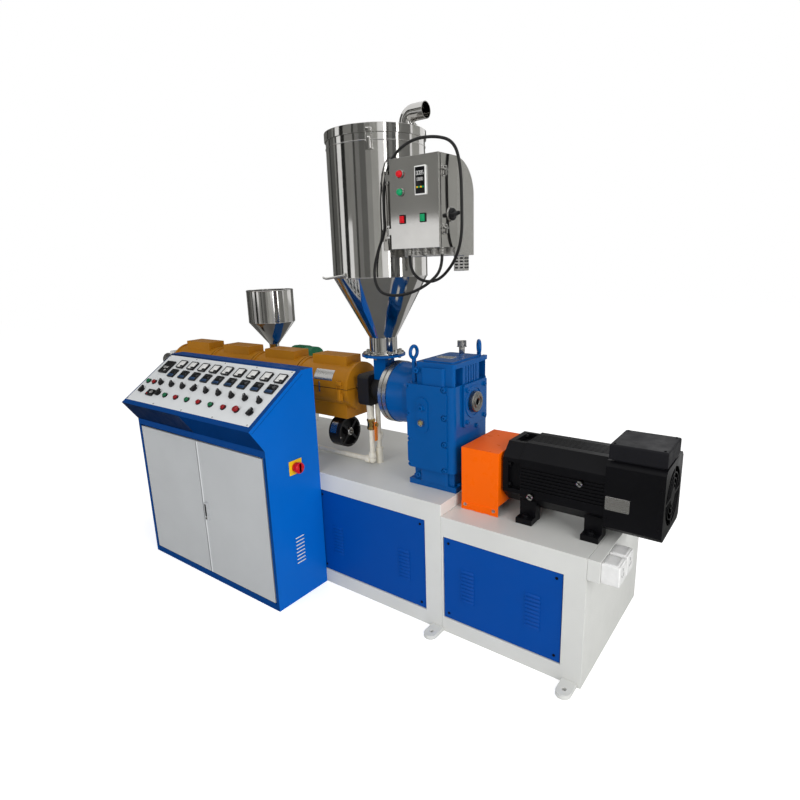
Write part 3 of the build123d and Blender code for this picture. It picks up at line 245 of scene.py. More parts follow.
def make_finishes():
    shade = colours()
    coated("base_enamel", shade.base, 0.34, 260.0, 0.0003, 0.3, 0.04)
    coated("panel_enamel", shade.panel, 0.34, 240.0, 0.0001, 0.1, 0.03)
    coated("cabinet_coat", shade.cabinet, 0.4, 620.0, 0.0002, 0.12, 0.03)
    coated("front_coat", shade.navy, 0.4, 620.0, 0.0002, 0.06, 0.03)
    coated("door_coat", shade.door, 0.4, 620.0, 0.0003, 0.25, 0.03)
    coated("casting_enamel", shade.casting, 0.2, 130.0, 0.0004, 0.2, 0.06)
    coated("guard_enamel", shade.guard, 0.3, 220.0, 0.0002, 0.12, 0.04)
    coated("motor_enamel", shade.motor, 0.34, 300.0, 0.0003, 0.12, 0.15)
    coated("terminal_coat", tinted(shade.motor, 2.2), 0.5, 180.0, 0.001, 0.12, 0.25)
    coated("gold_enamel", shade.gold, 0.34, 240.0, 0.0003, 0.18, 0.07)
    coated("green_enamel", shade.green, 0.32, 220.0, 0.0004, 0.3, 0.07)
    metal("polished_steel", shade.steel, 0.07, (1, 1, 18), 60.0, 0.00008)
    metal("satin_steel", shade.steel, 0.24, (1, 1, 30), 120.0, 0.0001)
    metal("machined_steel", shade.machined, 0.26, (40, 1, 1), 80.0, 0.0002)
    metal("shaft_steel", tinted(shade.machined, 0.5), 0.28, (40, 1, 1), 80.0, 0.0002)
    metal("bolt_steel", tinted(shade.steel, 0.85), 0.22, (1, 1, 1), 300.0, 0.0001)
    metal("valve_brass", shade.brass, 0.24, (1, 1, 1), 200.0, 0.0002)
    coated("black_iron", shade.iron, 0.5, 170.0, 0.0012, 0.25, 0.3)
    moulded("pipe_plastic", shade.pipe, 0.38, 300.0)
    moulded("lever_sleeve", shade.lever, 0.42)
    moulded("socket_plastic", shade.socket, 0.3, 500.0, 0.1)
    moulded("black_plastic", shade.black, 0.4)
    moulded("yellow_plastic", shade.yellow, 0.4)
    moulded("red_plastic", shade.red, 0.32, 900.0, 0.2)
    moulded("green_plastic", shade.lamp_green, 0.3, 900.0, 0.2)
    moulded("red_lens", tinted(shade.red, 0.42), 0.18, 900.0, 0.3)
    moulded("green_lens", tinted(shade.lamp_green, 0.4), 0.18, 900.0, 0.3)
    moulded("dial_card", shade.dial, 0.5)
    moulded("cable_sheath", shade.cable, 0.45, 1200.0)
    lens("sight_lens", shade.sight)
    moulded("window_lens", shade.window, 0.12, 900.0, 0.2)
    moulded("strip_plastic", shade.strip, 0.35)
    coated("plate_coat", shade.plate, 0.36, 420.0, 0.0002, 0.25, 0.02)


node_finish = {
    "base_enamel": (
        "barrel_base", "drive_base", "anchor_lugs", "socket_bracket", "barrel_support", "co_stand",
    ),
    "panel_enamel": ("front_panels", "rear_panels"),
    "socket_plastic": ("socket_outlets",),
    "casting_enamel": (
        "gearbox_sole", "gearbox_housing", "gearbox_cap", "gearbox_rear_cover", "gearbox_eye_bolts",
        "gearbox_bell", "feed_throat", "co_gearbox",
    ),
    "machined_steel": ("bell_flange_ring", "barrel_tube", "die_head", "drive_coupling", "co_barrel"),
    "shaft_steel": ("screw_shaft_end",),
    "bolt_steel": ("gearbox_breather",),
    "black_iron": ("feed_block",),
    "polished_steel": (
        "dryer_outlet", "dryer_vessel", "dryer_lid", "exhaust_elbow", "dryer_control_box", "dryer_box_door",
        "co_hopper",
    ),
    "satin_steel": ("dryer_air_housing",),
    "gold_enamel": ("heater_cover_1", "heater_cover_2", "heater_cover_3", "heater_cover_4"),
    "black_plastic": ("barrel_blowers", "panel_meters", "panel_knobs", "panel_buttons"),
    "pipe_plastic": ("water_supply_pipe", "water_return_pipe"),
    "valve_brass": ("water_valve",),
    "lever_sleeve": ("valve_lever",),
    "motor_enamel": ("motor_frame", "motor_cowl", "motor_fan"),
    "terminal_coat": ("motor_terminal_box",),
    "guard_enamel": ("coupling_guard",),
    "green_enamel": ("co_motor",),
    "cabinet_coat": ("cabinet_shell",),
    "front_coat": ("cabinet_door_frame",),
    "door_coat": ("cabinet_left_door", "cabinet_right_door"),
    "plate_coat": ("control_panel_plate",),
    "yellow_plastic": ("main_switch_plate",),
    "red_plastic": ("main_switch_knob",),
    "cable_sheath": ("dryer_cord",),
}
finish_of = {node: name for name, nodes in node_finish.items() for node in nodes}


def paint(piece, finish):
    piece.data.materials.clear()
    piece.data.materials.append(finishes[finish])


# Modelling by hand: steps
def clear_selection():
    if bpy.context.object and bpy.context.object.mode != "OBJECT":
        bpy.ops.object.mode_set(mode="OBJECT")
    bpy.ops.object.select_all(action="DESELECT")


def activate(piece):
    clear_selection()
    piece.select_set(True)
    bpy.context.view_layer.objects.active = piece


def settle(piece, name=None):
    activate(piece)
    bpy.ops.object.transform_apply(location=True, rotation=True, scale=True)
    if name:
        piece.name = name
        piece.data.name = name
    return piece


def bar(size, centre):
    clear_selection()
    bpy.ops.mesh.primitive_cube_add(size=1, location=centre, scale=size)
    return settle(bpy.context.object)


def disc(radius, depth, centre, axis="Z", sides=32):
    turns = {"X": (0, math.pi / 2, 0), "Y": (math.pi / 2, 0, 0), "Z": (0, 0, 0)}
    clear_selection()
    bpy.ops.mesh.primitive_cylinder_add(
        vertices=sides, radius=radius, depth=depth, location=centre, rotation=turns[axis]
    )
    return settle(bpy.context.object)


def hoop(ring, thickness, centre, axis="Z", sides=40):
    """Round wire spun into a ring about an axis through its centre."""
    middle = Vector(centre)
    round_axis = Vector([letter == axis for letter in "XYZ"])
    outward = Vector((0, 1, 0)) if axis == "X" else Vector(rightward)
    turns = {"X": (0, math.pi / 2, math.pi / 2), "Y": (0, 0, 0), "Z": (math.pi / 2, 0, 0)}
    clear_selection()
    bpy.ops.mesh.primitive_circle_add(
        vertices=12, radius=thickness, location=middle + outward * ring, rotation=turns[axis],
    )
    piece = settle(bpy.context.object)
    bpy.ops.object.mode_set(mode="EDIT")
    bpy.ops.mesh.select_all(action="SELECT")
    bpy.ops.mesh.spin(steps=sides, angle=math.tau, center=middle, axis=round_axis)
    bpy.ops.mesh.select_all(action="SELECT")
    bpy.ops.mesh.remove_doubles(threshold=thickness * 0.02)
    bpy.ops.mesh.normals_make_consistent(inside=False)
    leave_edit()
    return piece


def pick(piece, faces=None, edges=None):
    """Opens a piece in edit mode with the faces or edges that a test takes."""
    activate(piece)
    bpy.ops.object.mode_set(mode="EDIT")
    bpy.ops.mesh.select_mode(type="FACE" if faces else "EDGE")
    bpy.ops.mesh.select_all(action="DESELECT")
    work = bmesh.from_edit_mesh(piece.data)
    for part in work.faces if faces else work.edges:
        if (faces or edges)(part):
            part.select_set(True)
    bmesh.update_edit_mesh(piece.data)


def leave_edit():
    bpy.ops.object.mode_set(mode="OBJECT")


def round_edges(piece, width, segments=2, where=None):
    """Bevels all edges, or those that a test takes."""
    pick(piece, edges=where or (lambda edge: True))
    bpy.ops.mesh.bevel(offset=width, segments=segments, affect="EDGES", clamp_overlap=True)
    leave_edit()
    return piece


def facing(direction, limit=0.9):
    aim = Vector(direction)
    return lambda face: face.normal.dot(aim) > limit


def inset(piece, direction, margin, rise):
    """Insets the faces that look one way and lifts or sinks them."""
    pick(piece, faces=facing(direction))
    bpy.ops.mesh.inset(thickness=margin, depth=0)
    bpy.ops.transform.translate(value=Vector(direction) * rise)
    leave_edit()
    return piece


def smooth(piece, angle=35):
    activate(piece)
    bpy.ops.object.shade_smooth_by_angle(angle=math.radians(angle))
    return piece


def moved(piece, offset):
    piece.data.transform(Matrix.Translation(offset))
    return piece


def twin(piece, move):
    other = piece.copy()
    other.data = piece.data.copy()
    bpy.context.collection.objects.link(other)
    other.data.transform(move)
    return other


def joined(pieces):
    clear_selection()
    for piece in pieces:
        piece.select_set(True)
    bpy.context.view_layer.objects.active = pieces[0]
    bpy.ops.object.join()
    return bpy.context.object


def repeated(piece, moves):
    """Copies of a piece at all its places, joined; the first one is used up."""
    copies = [twin(piece, move) for move in moves]
    bpy.data.objects.remove(piece)
    return joined(copies)


def finished(piece, name, finish, body="machine"):
    """Names and paints a piece, and puts it on its body."""
    piece.name = name
    piece.data.name = name
    paint(piece, finish)
    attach(piece, body)
    return piece


def fastened(piece, moves, name, finish, body="machine"):
    return finished(repeated(piece, moves), name, finish, body)


# Places and directions
forward, backward = (0, -1, 0), (0, 1, 0)
leftward, rightward = (-1, 0, 0), (1, 0, 0)
upward = (0, 0, 1)


def at(*place):
    return Matrix.Translation(place)


def rolled(angle, axis="Z"):
    return Matrix.Rotation(math.radians(angle), 4, axis)


def turned(direction):
    return Vector(upward).rotation_difference(Vector(direction)).to_matrix().to_4x4()


def on(place, direction):
    return at(*place) @ turned(direction)


def upright(place, direction):
    """A stand on a wall: its Y leads up and its Z leads out of the wall."""
    out = Vector(direction).normalized()
    up = Vector(upward)
    return at(*place) @ Matrix((up.cross(out), up, out)).transposed().to_4x4()


def slope(across, up, lift=0.003):
    """A place on the cabinet's sloped panel, counted from its lower left corner."""
    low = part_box("cabinet_shell")[0]
    angle = math.atan2(sizes().slope_rise, sizes().slope_run)
    return at(low[0], low[1], sizes().nose_height) @ Matrix.Rotation(angle, 4, "X") @ at(across, up, lift)


def circled(radius, count):
    """Offsets of places spread evenly round a circle."""
    first = 0.2
    turns = [math.tau * place / count + first for place in range(count)]
    return [(radius * math.cos(turn), radius * math.sin(turn)) for turn in turns]


def along(axis):
    return lambda edge: abs((edge.verts[0].co - edge.verts[1].co).normalized()["XYZ".index(axis)]) > 0.99


def above(height):
    return lambda edge: all(corner.co.z > height for corner in edge.verts)


def screw_axis():
    """Height of the screw's centre line."""
    low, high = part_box("barrel_tube")
    return (low[2] + high[2]) / 2


def panel_bays():
    """Left edge, right edge and top of each side panel, left to right."""
    spans = {}
    for corner in frame["nodes"]["front_panels"].data.vertices:
        spans.setdefault(round(corner.co.x, 4), []).append(corner.co.z)
    edges = sorted(spans)
    return [(left, right, max(spans[left])) for left, right in zip(edges[0::2], edges[1::2])]


# Modelling by hand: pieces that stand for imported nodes
def cad_copy(node):
    """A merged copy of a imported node, ready for edit mode."""
    source = frame["nodes"][node]
    clear_selection()
    piece = source.copy()
    piece.data = source.data.copy()
    bpy.context.collection.objects.link(piece)
    piece.parent = None
    piece.matrix_world = Matrix.Identity(4)
    activate(piece)
    bpy.ops.object.mode_set(mode="EDIT")
    bpy.ops.mesh.select_all(action="SELECT")
    bpy.ops.mesh.remove_doubles(threshold=0.000002)
    bpy.ops.mesh.dissolve_limited(angle_limit=math.radians(0.6))
    leave_edit()
    return piece


def softened(node, width, segments=2, sharp=32, where=None):
    """A copy of a node with its hard edges rounded, standing for that node."""
    piece = cad_copy(node)
    activate(piece)
    bpy.ops.object.mode_set(mode="EDIT")
    bpy.ops.mesh.select_all(action="DESELECT")
    bpy.ops.mesh.select_mode(type="EDGE")
    bpy.ops.mesh.edges_select_sharp(sharpness=math.radians(sharp))
    if where:
        mesh = bmesh.from_edit_mesh(piece.data)
        for edge in mesh.edges:
            edge.select = edge.select and where(edge)
        mesh.select_flush_mode()
    bpy.ops.mesh.bevel(offset=width, segments=segments, affect="EDGES", clamp_overlap=True)
    leave_edit()
    smooth(piece, 30)
    even = piece.modifiers.new("even", "WEIGHTED_NORMAL")
    even.keep_sharp = True
    bpy.ops.object.modifier_apply(modifier="even")
    body = next(name for name, nodes in frame["record"]["behaviour"]["bodies"].items() if node in nodes)
    finished(piece, node + "_dressed", finish_of[node], body)
    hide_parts(node)
    return piece


# Modelling by hand: shapes that repeat
def slab(width, height, depth, corner, soft):
    """Block lying on the origin, with rounded corners and a soft upper edge."""
    piece = bar((width, height, depth), (0, 0, depth / 2))
    round_edges(piece, corner, 4, along("Z"))
    round_edges(piece, soft, 2, above(depth * 0.9))
    return smooth(piece, 35)


def stud(radius, depth, soft, sides=32):
    """Round boss lying on the origin, with a soft upper edge."""
    piece = disc(radius, depth, (0, 0, depth / 2), sides=sides)
    round_edges(piece, soft, 3, above(depth * 0.9))
    return smooth(piece, 40)


def curved_plate(radius, length, centre, first, last, thickness):
    """Sheet bent round an axis along X, between two angles counted upwards from the front."""
    sheet = disc(radius, length, centre, "X", 144)
    middle = Vector(centre)

    def outside(face):
        place = face.calc_center_median() - middle
        turn = math.degrees(math.atan2(place.z, -place.y))
        return abs(face.normal.x) > 0.5 or not first < turn < last

    pick(sheet, faces=outside)
    bpy.ops.mesh.delete(type="FACE")
    leave_edit()
    thick = sheet.modifiers.new("thick", "SOLIDIFY")
    thick.thickness = thickness
    thick.offset = 1
    bpy.ops.object.modifier_apply(modifier="thick")
    return smooth(sheet, 40)


def toggle_latch(width):
    """Lever on a base plate, two wires and a hook, lying across the origin."""
    base = moved(slab(width, width * 1.1, 0.004, 0.002, 0.0008), (0, -width, 0))
    lever = slab(width * 0.5, width * 1.5, width * 0.25, width * 0.15, 0.003)
    moved(lever, (0, -width * 0.75, 0.003))
    hook = moved(slab(width * 0.8, width * 0.5, width * 0.3, 0.003, 0.002), (0, width * 0.75, 0))
    wire = moved(slab(0.0025, width * 1.3, 0.0025, 0.001, 0.0008), (width * 0.36, width * 0.1, 0.006))
    other = twin(wire, at(-width * 0.72, 0, 0))
    return joined([base, lever, hook, wire, other])


strokes = {"0": "abcdef", "5": "acdfg", "8": "abcdefg"}


def digits(numbers, height, gap):
    """Seven-stroke numbers lying on the origin."""
    half, quarter = height / 2, height / 4
    flat = slab(height * 0.43, height * 0.1, 0.0006, height * 0.04, 0.0001)
    tall = twin(flat, rolled(90))
    spots = {
        "a": (flat, 0, half), "d": (flat, 0, -half), "g": (flat, 0, 0), "b": (tall, quarter, quarter),
        "c": (tall, quarter, -quarter), "e": (tall, -quarter, -quarter), "f": (tall, -quarter, quarter),
    }
    copies = []
    for place, number in enumerate(numbers):
        shift = (place - (len(numbers) - 1) / 2) * gap
        for stroke in strokes[number]:
            source, x, y = spots[stroke]
            copies.append(twin(source, at(shift + x, y, 0)))
    for source in (flat, tall):
        bpy.data.objects.remove(source)
    return joined(copies)


def cap_screw(radius, height):
    """Round head with a sunk socket, standing on the origin."""
    piece = disc(radius, height, (0, 0, height / 2), sides=20)
    round_edges(piece, radius * 0.14, 2, above(height * 0.9))
    pick(piece, faces=lambda face: face.normal.z > 0.9 and face.calc_area() > radius * radius)
    bpy.ops.mesh.inset(thickness=radius * 0.42)
    bpy.ops.mesh.extrude_region_move(TRANSFORM_OT_translate={"value": (0, 0, -height * 0.5)})
    leave_edit()
    return smooth(piece, 40)


def hex_bolt(radius, height):
    """Six-sided head on a round washer, standing on the origin."""
    head = disc(radius, height, (0, 0, height / 2 + radius * 0.2), sides=6)
    round_edges(head, radius * 0.12, 2, above(height * 0.9))
    washer = disc(radius * 1.3, radius * 0.2, (0, 0, radius * 0.1), sides=24)
    round_edges(washer, radius * 0.06, 1, above(radius * 0.15))
    return smooth(joined([head, washer]), 30)


def dome_screw(radius, height):
    """Low domed head with a cross slot, standing on the origin."""
    piece = disc(radius, height, (0, 0, height / 2), sides=20)
    round_edges(piece, height * 0.7, 3, above(height * 0.9))
    cross = bar((radius * 1.1, radius * 0.22, height * 0.5), (0, 0, height))
    round_edges(cross, radius * 0.04, 1)
    other = twin(cross, rolled(90))
    for cutter in (cross, other):
        carve(piece, cutter)
    return smooth(piece, 40)


def carve(piece, cutter):
    activate(piece)
    cut = piece.modifiers.new("cut", "BOOLEAN")
    cut.operation = "DIFFERENCE"
    cut.solver = "EXACT"
    cut.object = cutter
    bpy.ops.object.modifier_apply(modifier="cut")
    bpy.data.objects.remove(cutter)
    return piece


def eye_ring(ring, thickness, stem):
    """Lifting eye with a collar, standing on the origin."""
    loop = hoop(ring, thickness, (0, 0, stem + ring), "X")
    post = disc(thickness * 1.3, stem, (0, 0, stem / 2), sides=20)
    pick(post, faces=facing((0, 0, -1)))
    bpy.ops.mesh.inset(thickness=0)
    bpy.ops.transform.resize(value=(1.7, 1.7, 1))
    leave_edit()
    return smooth(joined([loop, post]), 50)


def bare_plate(width, height, thickness):
    """Blank plate with rounded corners and four rivets, lying on the origin."""
    plate = bar((width, height, thickness), (0, 0, thickness / 2))
    round_edges(plate, min(width, height) * 0.08, 3, along("Z"))
    round_edges(plate, thickness * 0.3, 1, above(thickness * 0.9))
    rivet = disc(thickness * 1.1, thickness, (0, 0, thickness * 1.4), sides=12)
    round_edges(rivet, thickness * 0.4, 2, above(thickness * 1.8))
    spots = [at(x * width * 0.43, y * height * 0.4, 0) for x in (-1, 1) for y in (-1, 1)]
    return smooth(joined([plate, repeated(rivet, spots)]), 35)


# Operators
class StrawFinishes(Operator):
    """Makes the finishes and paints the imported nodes"""

    bl_idname = "straw.finishes"
    bl_label = "Finishes"

    def execute(self, context):
        make_finishes()
        for node, piece in frame["nodes"].items():
            paint(piece, finish_of[node])
        return {"FINISHED"}


class StrawCable(Operator):
    """Loops the black cable round the dryer's control box"""

    bl_idname = "straw.cable"
    bl_label = "Cable"

    def execute(self, context):
        route = (
            (0.3163, -0.196, 1.648), (0.3163, -0.196, 1.59), (0.3643, -0.185, 1.542),
            (0.4323, -0.16, 1.542), (0.5053, -0.155, 1.614), (0.5453, -0.162, 1.706),
            (0.5463, -0.165, 1.838), (0.5453, -0.169, 1.966), (0.5253, -0.18, 2.056),
            (0.4503, -0.198, 2.084), (0.3453, -0.215, 2.082), (0.2623, -0.232, 2.026),
            (0.2303, -0.24, 1.936), (0.2243, -0.242, 1.821), (0.2323, -0.243, 1.751),
            (0.1903, -0.248, 1.671), (0.1663, -0.255, 1.576), (0.1963, -0.26, 1.502),
            (0.2753, -0.258, 1.486), (0.3603, -0.248, 1.5), (0.4303, -0.228, 1.536),
            (0.4737, -0.196, 1.59), (0.4737, -0.196, 1.648),
        )
        line = bpy.data.curves.new("dryer_cable", "CURVE")
        line.dimensions = "3D"
        line.resolution_u = 12
        line.bevel_depth = sizes().cord_diameter / 2
        line.bevel_resolution = 5
        line.use_fill_caps = True
        spline = line.splines.new("NURBS")
        spline.points.add(len(route) - 1)
        for point, place in zip(spline.points, route):
            point.co = (*place, 1)
        spline.order_u = 3
        spline.use_endpoint_u = True
        cable = bpy.data.objects.new("dryer_cable", line)
        context.collection.objects.link(cable)
        finished(cable, "dryer_cable", "cable_sheath")
        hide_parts("dryer_cord")
        return {"FINISHED"}


class StrawSoftEdges(Operator):
    """Rounds the hard edges of the base, castings, covers and cabinet"""

    bl_idname = "straw.soft_edges"
    bl_label = "Soft edges"

    def execute(self, context):
        edge, cast = sizes().soft_edge, sizes().cast_edge
        sheet = edge * 0.4
        for width, nodes in (
            (edge, ("barrel_base", "drive_base", "coupling_guard", "socket_bracket", "co_stand")),
            (cast, ("gearbox_sole", "gearbox_housing", "gearbox_cap", "gearbox_rear_cover", "co_gearbox")),
            (edge, ("heater_cover_1", "heater_cover_2", "heater_cover_3", "heater_cover_4")),
            (edge, ("motor_frame", "motor_terminal_box", "barrel_support", "feed_block", "feed_throat")),
            (edge, ("cabinet_left_door", "cabinet_right_door", "dryer_lid", "dryer_outlet", "anchor_lugs")),
            (sheet, ("front_panels", "rear_panels", "motor_cowl", "control_panel_plate")),
        ):
            for node in nodes:
                softened(node, width)
        return {"FINISHED"}


class StrawLouvres(Operator):
    """Presses louvres into the blue side panels, paints shade into their openings and screws the panels on"""

    bl_idname = "straw.louvres"
    bl_label = "Louvres"

    def execute(self, context):
        width, pitch = sizes().louvre_width, sizes().louvre_pitch
        slat = bar((width, 0.007, pitch * 0.62), (0, -0.0035, 0))
        pick(slat, edges=lambda edge: all(v.co.y < -0.006 and v.co.z > 0 for v in edge.verts))
        bpy.ops.transform.translate(value=(0, 0.0055, 0))
        leave_edit()
        round_edges(slat, 0.0016, 2, lambda edge: all(v.co.y < -0.0005 for v in edge.verts))
        smooth(slat, 40)
        # Black strip under each louvre: painted shade in the louvre's opening
        gap = bar((width * 0.96, 0.0012, 0.0034), (0, -0.0004, -pitch * 0.39))
        round_edges(gap, 0.0003, 1)
        screw = dome_screw(0.006, 0.0035)
        face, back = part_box("front_panels")[0][1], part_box("rear_panels")[1][1]
        louvre_margin, lowest_louvre = 0.118, 0.192
        screw_margin, lowest_screw = 0.024, 0.1
        front, rear, heads = [], [], []
        for left, right, top in panel_bays():
            for x in (left + louvre_margin, right - louvre_margin):
                for row in range(sizes().louvre_rows):
                    height = lowest_louvre + pitch * row
                    front.append(at(x, face, height))
                    rear.append(at(x, back, height) @ rolled(180))
            for x in (left + screw_margin, right - screw_margin):
                for z in (lowest_screw, top - screw_margin):
                    heads.append(on((x, face, z), forward))
                    heads.append(on((x, back, z), backward))
        fastened(slat, front + rear, "panel_louvres", "panel_enamel")
        fastened(gap, front + rear, "louvre_opening_shade", "black_plastic")
        fastened(screw, heads, "panel_screws", "motor_enamel")
        return {"FINISHED"}


class StrawGearboxFittings(Operator):
    """Bolts, plugs, sight glass, blank plate, shaft lip and breather of the gearbox"""

    bl_idname = "straw.gearbox_fittings"
    bl_label = "Gearbox fittings"

    def execute(self, context):
        low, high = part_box("gearbox_housing")
        front = low[1] + 0.015
        levels = [low[2] + (high[2] - low[2]) * share for share in (0.03, 0.34, 0.65, 0.97)]
        heads = [on((x, front, z), forward) for x in (0.2625, 0.4485) for z in levels]
        cover_x, sole_top = high[0] + 0.012, 0.638
        heads += [on((cover_x, y, z), rightward) for y in (-0.056, 0.096) for z in (0.926, 1.072)]
        heads += [on((0.4928, 0.045, 0.884), rightward), on((0.459, 0.102, 1.15), rightward)]
        heads += [on((x, y, sole_top), upward) for x in (0.252, 0.486) for y in (-0.1, 0.1)]
        fastened(cap_screw(0.0105, 0.009), heads, "gearbox_bolts", "casting_enamel")

        spots = ((0.3, -0.14, 1.158), (0.34, low[1], 0.996), (0.291, -0.127, 0.662))
        plugs = [on(spot, forward) for spot in spots]
        collar_height = 0.004
        collar = disc(0.017, collar_height, (0, 0, collar_height / 2), sides=32)
        round_edges(collar, 0.0015, 2, above(0.003))
        plug = joined([collar, moved(cap_screw(0.0125, 0.01), (0, 0, collar_height))])
        fastened(plug, plugs, "gearbox_plugs", "casting_enamel")

        bezel = disc(0.017, 0.012, (0, 0, 0.006), sides=6)
        round_edges(bezel, 0.002, 2, above(0.011))
        inset(bezel, upward, 0.004, -0.004)
        sight = [on((0.338, low[1], 0.928), forward)]
        fastened(smooth(bezel, 30), sight, "sight_bezel", "bolt_steel")
        glass = disc(0.0095, 0.004, (0, 0, 0.009), sides=32)
        round_edges(glass, 0.0012, 3, above(0.01))
        fastened(smooth(glass), sight, "sight_glass", "sight_lens")

        plate = bare_plate(0.085, 0.05, 0.0015)
        fastened(plate, [at(0.375, -0.02, 1.201)], "gearbox_plate", "satin_steel")
        softened("screw_shaft_end", 0.005, 3)
        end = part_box("screw_shaft_end")[1][0]
        lip = hoop(0.028, 0.0045, (end - 0.001, 0, screw_axis()), "X", 48)
        finished(smooth(lip, 60), "shaft_lip", "machined_steel", "screw_shaft_end")
        self.breather()
        return {"FINISHED"}

    def breather(self):
        low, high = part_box("gearbox_breather")
        x, y = (low[0] + high[0]) / 2, (low[1] + high[1]) / 2
        neck = disc(0.014, 0.032, (x, y, low[2] + 0.016), sides=6)
        round_edges(neck, 0.0015, 2)
        crown = disc(0.021, 0.026, (x, y, low[2] + 0.045), sides=28)
        pick(crown, faces=lambda face: abs(face.normal.z) < 0.1 and face.index % 2 == 0)
        bpy.ops.mesh.inset(thickness=0.0008, use_individual=True)
        bpy.ops.mesh.extrude_faces_move(TRANSFORM_OT_shrink_fatten={"value": -0.003})
        leave_edit()
        inset(crown, upward, 0.006, -0.002)
        piece = joined([smooth(neck, 30), smooth(crown, 30)])
        finished(piece, "gearbox_breather_dressed", "bolt_steel")
        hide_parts("gearbox_breather")


class StrawMotorFittings(Operator):
    """Bolts, eyes, blank plate, grille ring and air baffle of the motor"""

    bl_idname = "straw.motor_fittings"
    bl_label = "Motor fittings"

    def execute(self, context):
        low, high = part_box("motor_cowl")
        axis, side = (low[2] + high[2]) / 2, low[1]
        foot_top, eye_y = 0.584, -0.135
        feet = [at(x, y, foot_top) for x in (0.823, 1.093) for y in (-0.132, 0.132)]
        fastened(hex_bolt(0.012, 0.01), feet, "motor_foot_bolts", "motor_enamel")
        flange_x, near, far = 0.7395, 0.045, 0.118
        spots = [(y, z) for y in (-near, near) for z in (-far, far)]
        spots += [(y, z) for y in (-far, far) for z in (-near, near)]
        flange = [on((flange_x, y, axis + z), rightward) for y, z in spots]
        fastened(hex_bolt(0.009, 0.009), flange, "motor_flange_bolts", "motor_enamel")
        lean = rolled(55)
        eyes = [on((x, eye_y, z), forward) @ lean for x, z in ((0.851, 0.69), (1.048, 0.79))]
        fastened(eye_ring(0.013, 0.004, 0.012), eyes, "motor_eyes", "bolt_steel")
        corners = [on((x, side, axis + z), forward) for x in (1.15, 1.33) for z in (-0.085, 0.06)]
        box_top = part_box("motor_terminal_box")[1][2]
        corners += [at(x, y, box_top) for x in (1.158, 1.328) for y in (-0.12, 0.058)]
        fastened(dome_screw(0.0045, 0.003), corners, "motor_cover_screws", "motor_enamel")
        plate = bare_plate(0.088, 0.053, 0.0014)
        fastened(plate, [upright((1.184, side, 0.731), forward)], "motor_plate", "satin_steel")

        wire = 0.0032
        ring = hoop(0.113, wire, (high[0] - wire - 0.0002, 0, axis), "X", 64)
        finished(smooth(ring, 60), "grille_ring", "bolt_steel")
        baffle = slab(0.266, 0.266, 0.004, 0.03, 0.001)
        fastened(baffle, [on((low[0] + 0.0025, 0, axis), rightward)], "motor_baffle", "motor_enamel")
        return {"FINISHED"}


class StrawSockets(Operator):
    """Covers and lids of the two socket outlets, and painted shade in their pin slots"""

    bl_idname = "straw.sockets"
    bl_label = "Sockets"

    def execute(self, context):
        softened("socket_outlets", 0.004, 3)
        low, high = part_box("socket_outlets")
        face_x = high[0]
        middles = [low[1] + 0.04, low[1] + 0.132]
        middle_z = (low[2] + high[2]) / 2
        cover = bar((0.004, 0.066, 0.066), (face_x - 0.0012, 0, 0))
        round_edges(cover, 0.008, 4, along("X"))
        inset(cover, rightward, 0.005, -0.0012)
        smooth(cover, 35)
        fastened(cover, [at(0, y, middle_z) for y in middles], "socket_faces", "socket_plastic")
        # Black bars stand for the shade inside the pin slots: painted shade
        slot = bar((0.003, 0.0024, 0.013), (face_x - 0.0008, 0, 0))
        round_edges(slot, 0.0007, 1)
        spots = []
        for y in middles:
            for turn, (dy, dz) in ((0.5, (-0.01, -0.006)), (-0.5, (0.01, -0.006)), (0, (0, 0.016))):
                spots.append(at(0, y + dy, middle_z + dz) @ Matrix.Rotation(turn, 4, "X"))
        fastened(slot, spots, "socket_slot_shade", "black_plastic")
        lid = bar((0.05, 0.07, 0.004), ((low[0] + high[0]) / 2, 0, high[2] + 0.001))
        round_edges(lid, 0.006, 3, along("Z"))
        round_edges(lid, 0.0012, 2, above(high[2]))
        inset(lid, upward, 0.006, -0.0015)
        fastened(smooth(lid, 35), [at(0, y, 0) for y in middles], "socket_lids", "socket_plastic")
        return {"FINISHED"}


class StrawFeedFittings(Operator):
    """Bolts of the feed flanges and the bell's ring, and the bell's rounded edges"""

    bl_idname = "straw.feed_fittings"
    bl_label = "Feed fittings"

    def execute(self, context):
        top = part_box("feed_throat")[1][2]
        ring = circled(0.087, 8)
        bolts = [at(x, y, top + 0.008) for x, y in ring]
        fastened(hex_bolt(0.0075, 0.007), bolts, "outlet_bolts", "bolt_steel")
        nuts = [at(x, y, top - 0.0115) @ rolled(180, "X") for x, y in ring]
        fastened(hex_bolt(0.0075, 0.007), nuts, "throat_nuts", "bolt_steel")
        ring_x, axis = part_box("bell_flange_ring")[0][0] + 0.0005, screw_axis()
        heads = [on((ring_x, y, axis + z), leftward) for y, z in circled(0.128, 10)]
        fastened(cap_screw(0.009, 0.009), heads, "bell_ring_bolts", "bolt_steel")
        bell = cad_copy("gearbox_bell")
        activate(bell)
        bpy.ops.object.mode_set(mode="EDIT")
        bpy.ops.mesh.select_mode(type="FACE")
        bpy.ops.mesh.select_all(action="DESELECT")
        bpy.ops.mesh.edges_select_sharp(sharpness=math.radians(3))
        bpy.ops.mesh.bevel(offset=0.016, segments=5, affect="EDGES", clamp_overlap=True)
        leave_edit()
        finished(smooth(bell, 40), "gearbox_bell_dressed", "casting_enamel")
        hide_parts("gearbox_bell")
        return {"FINISHED"}


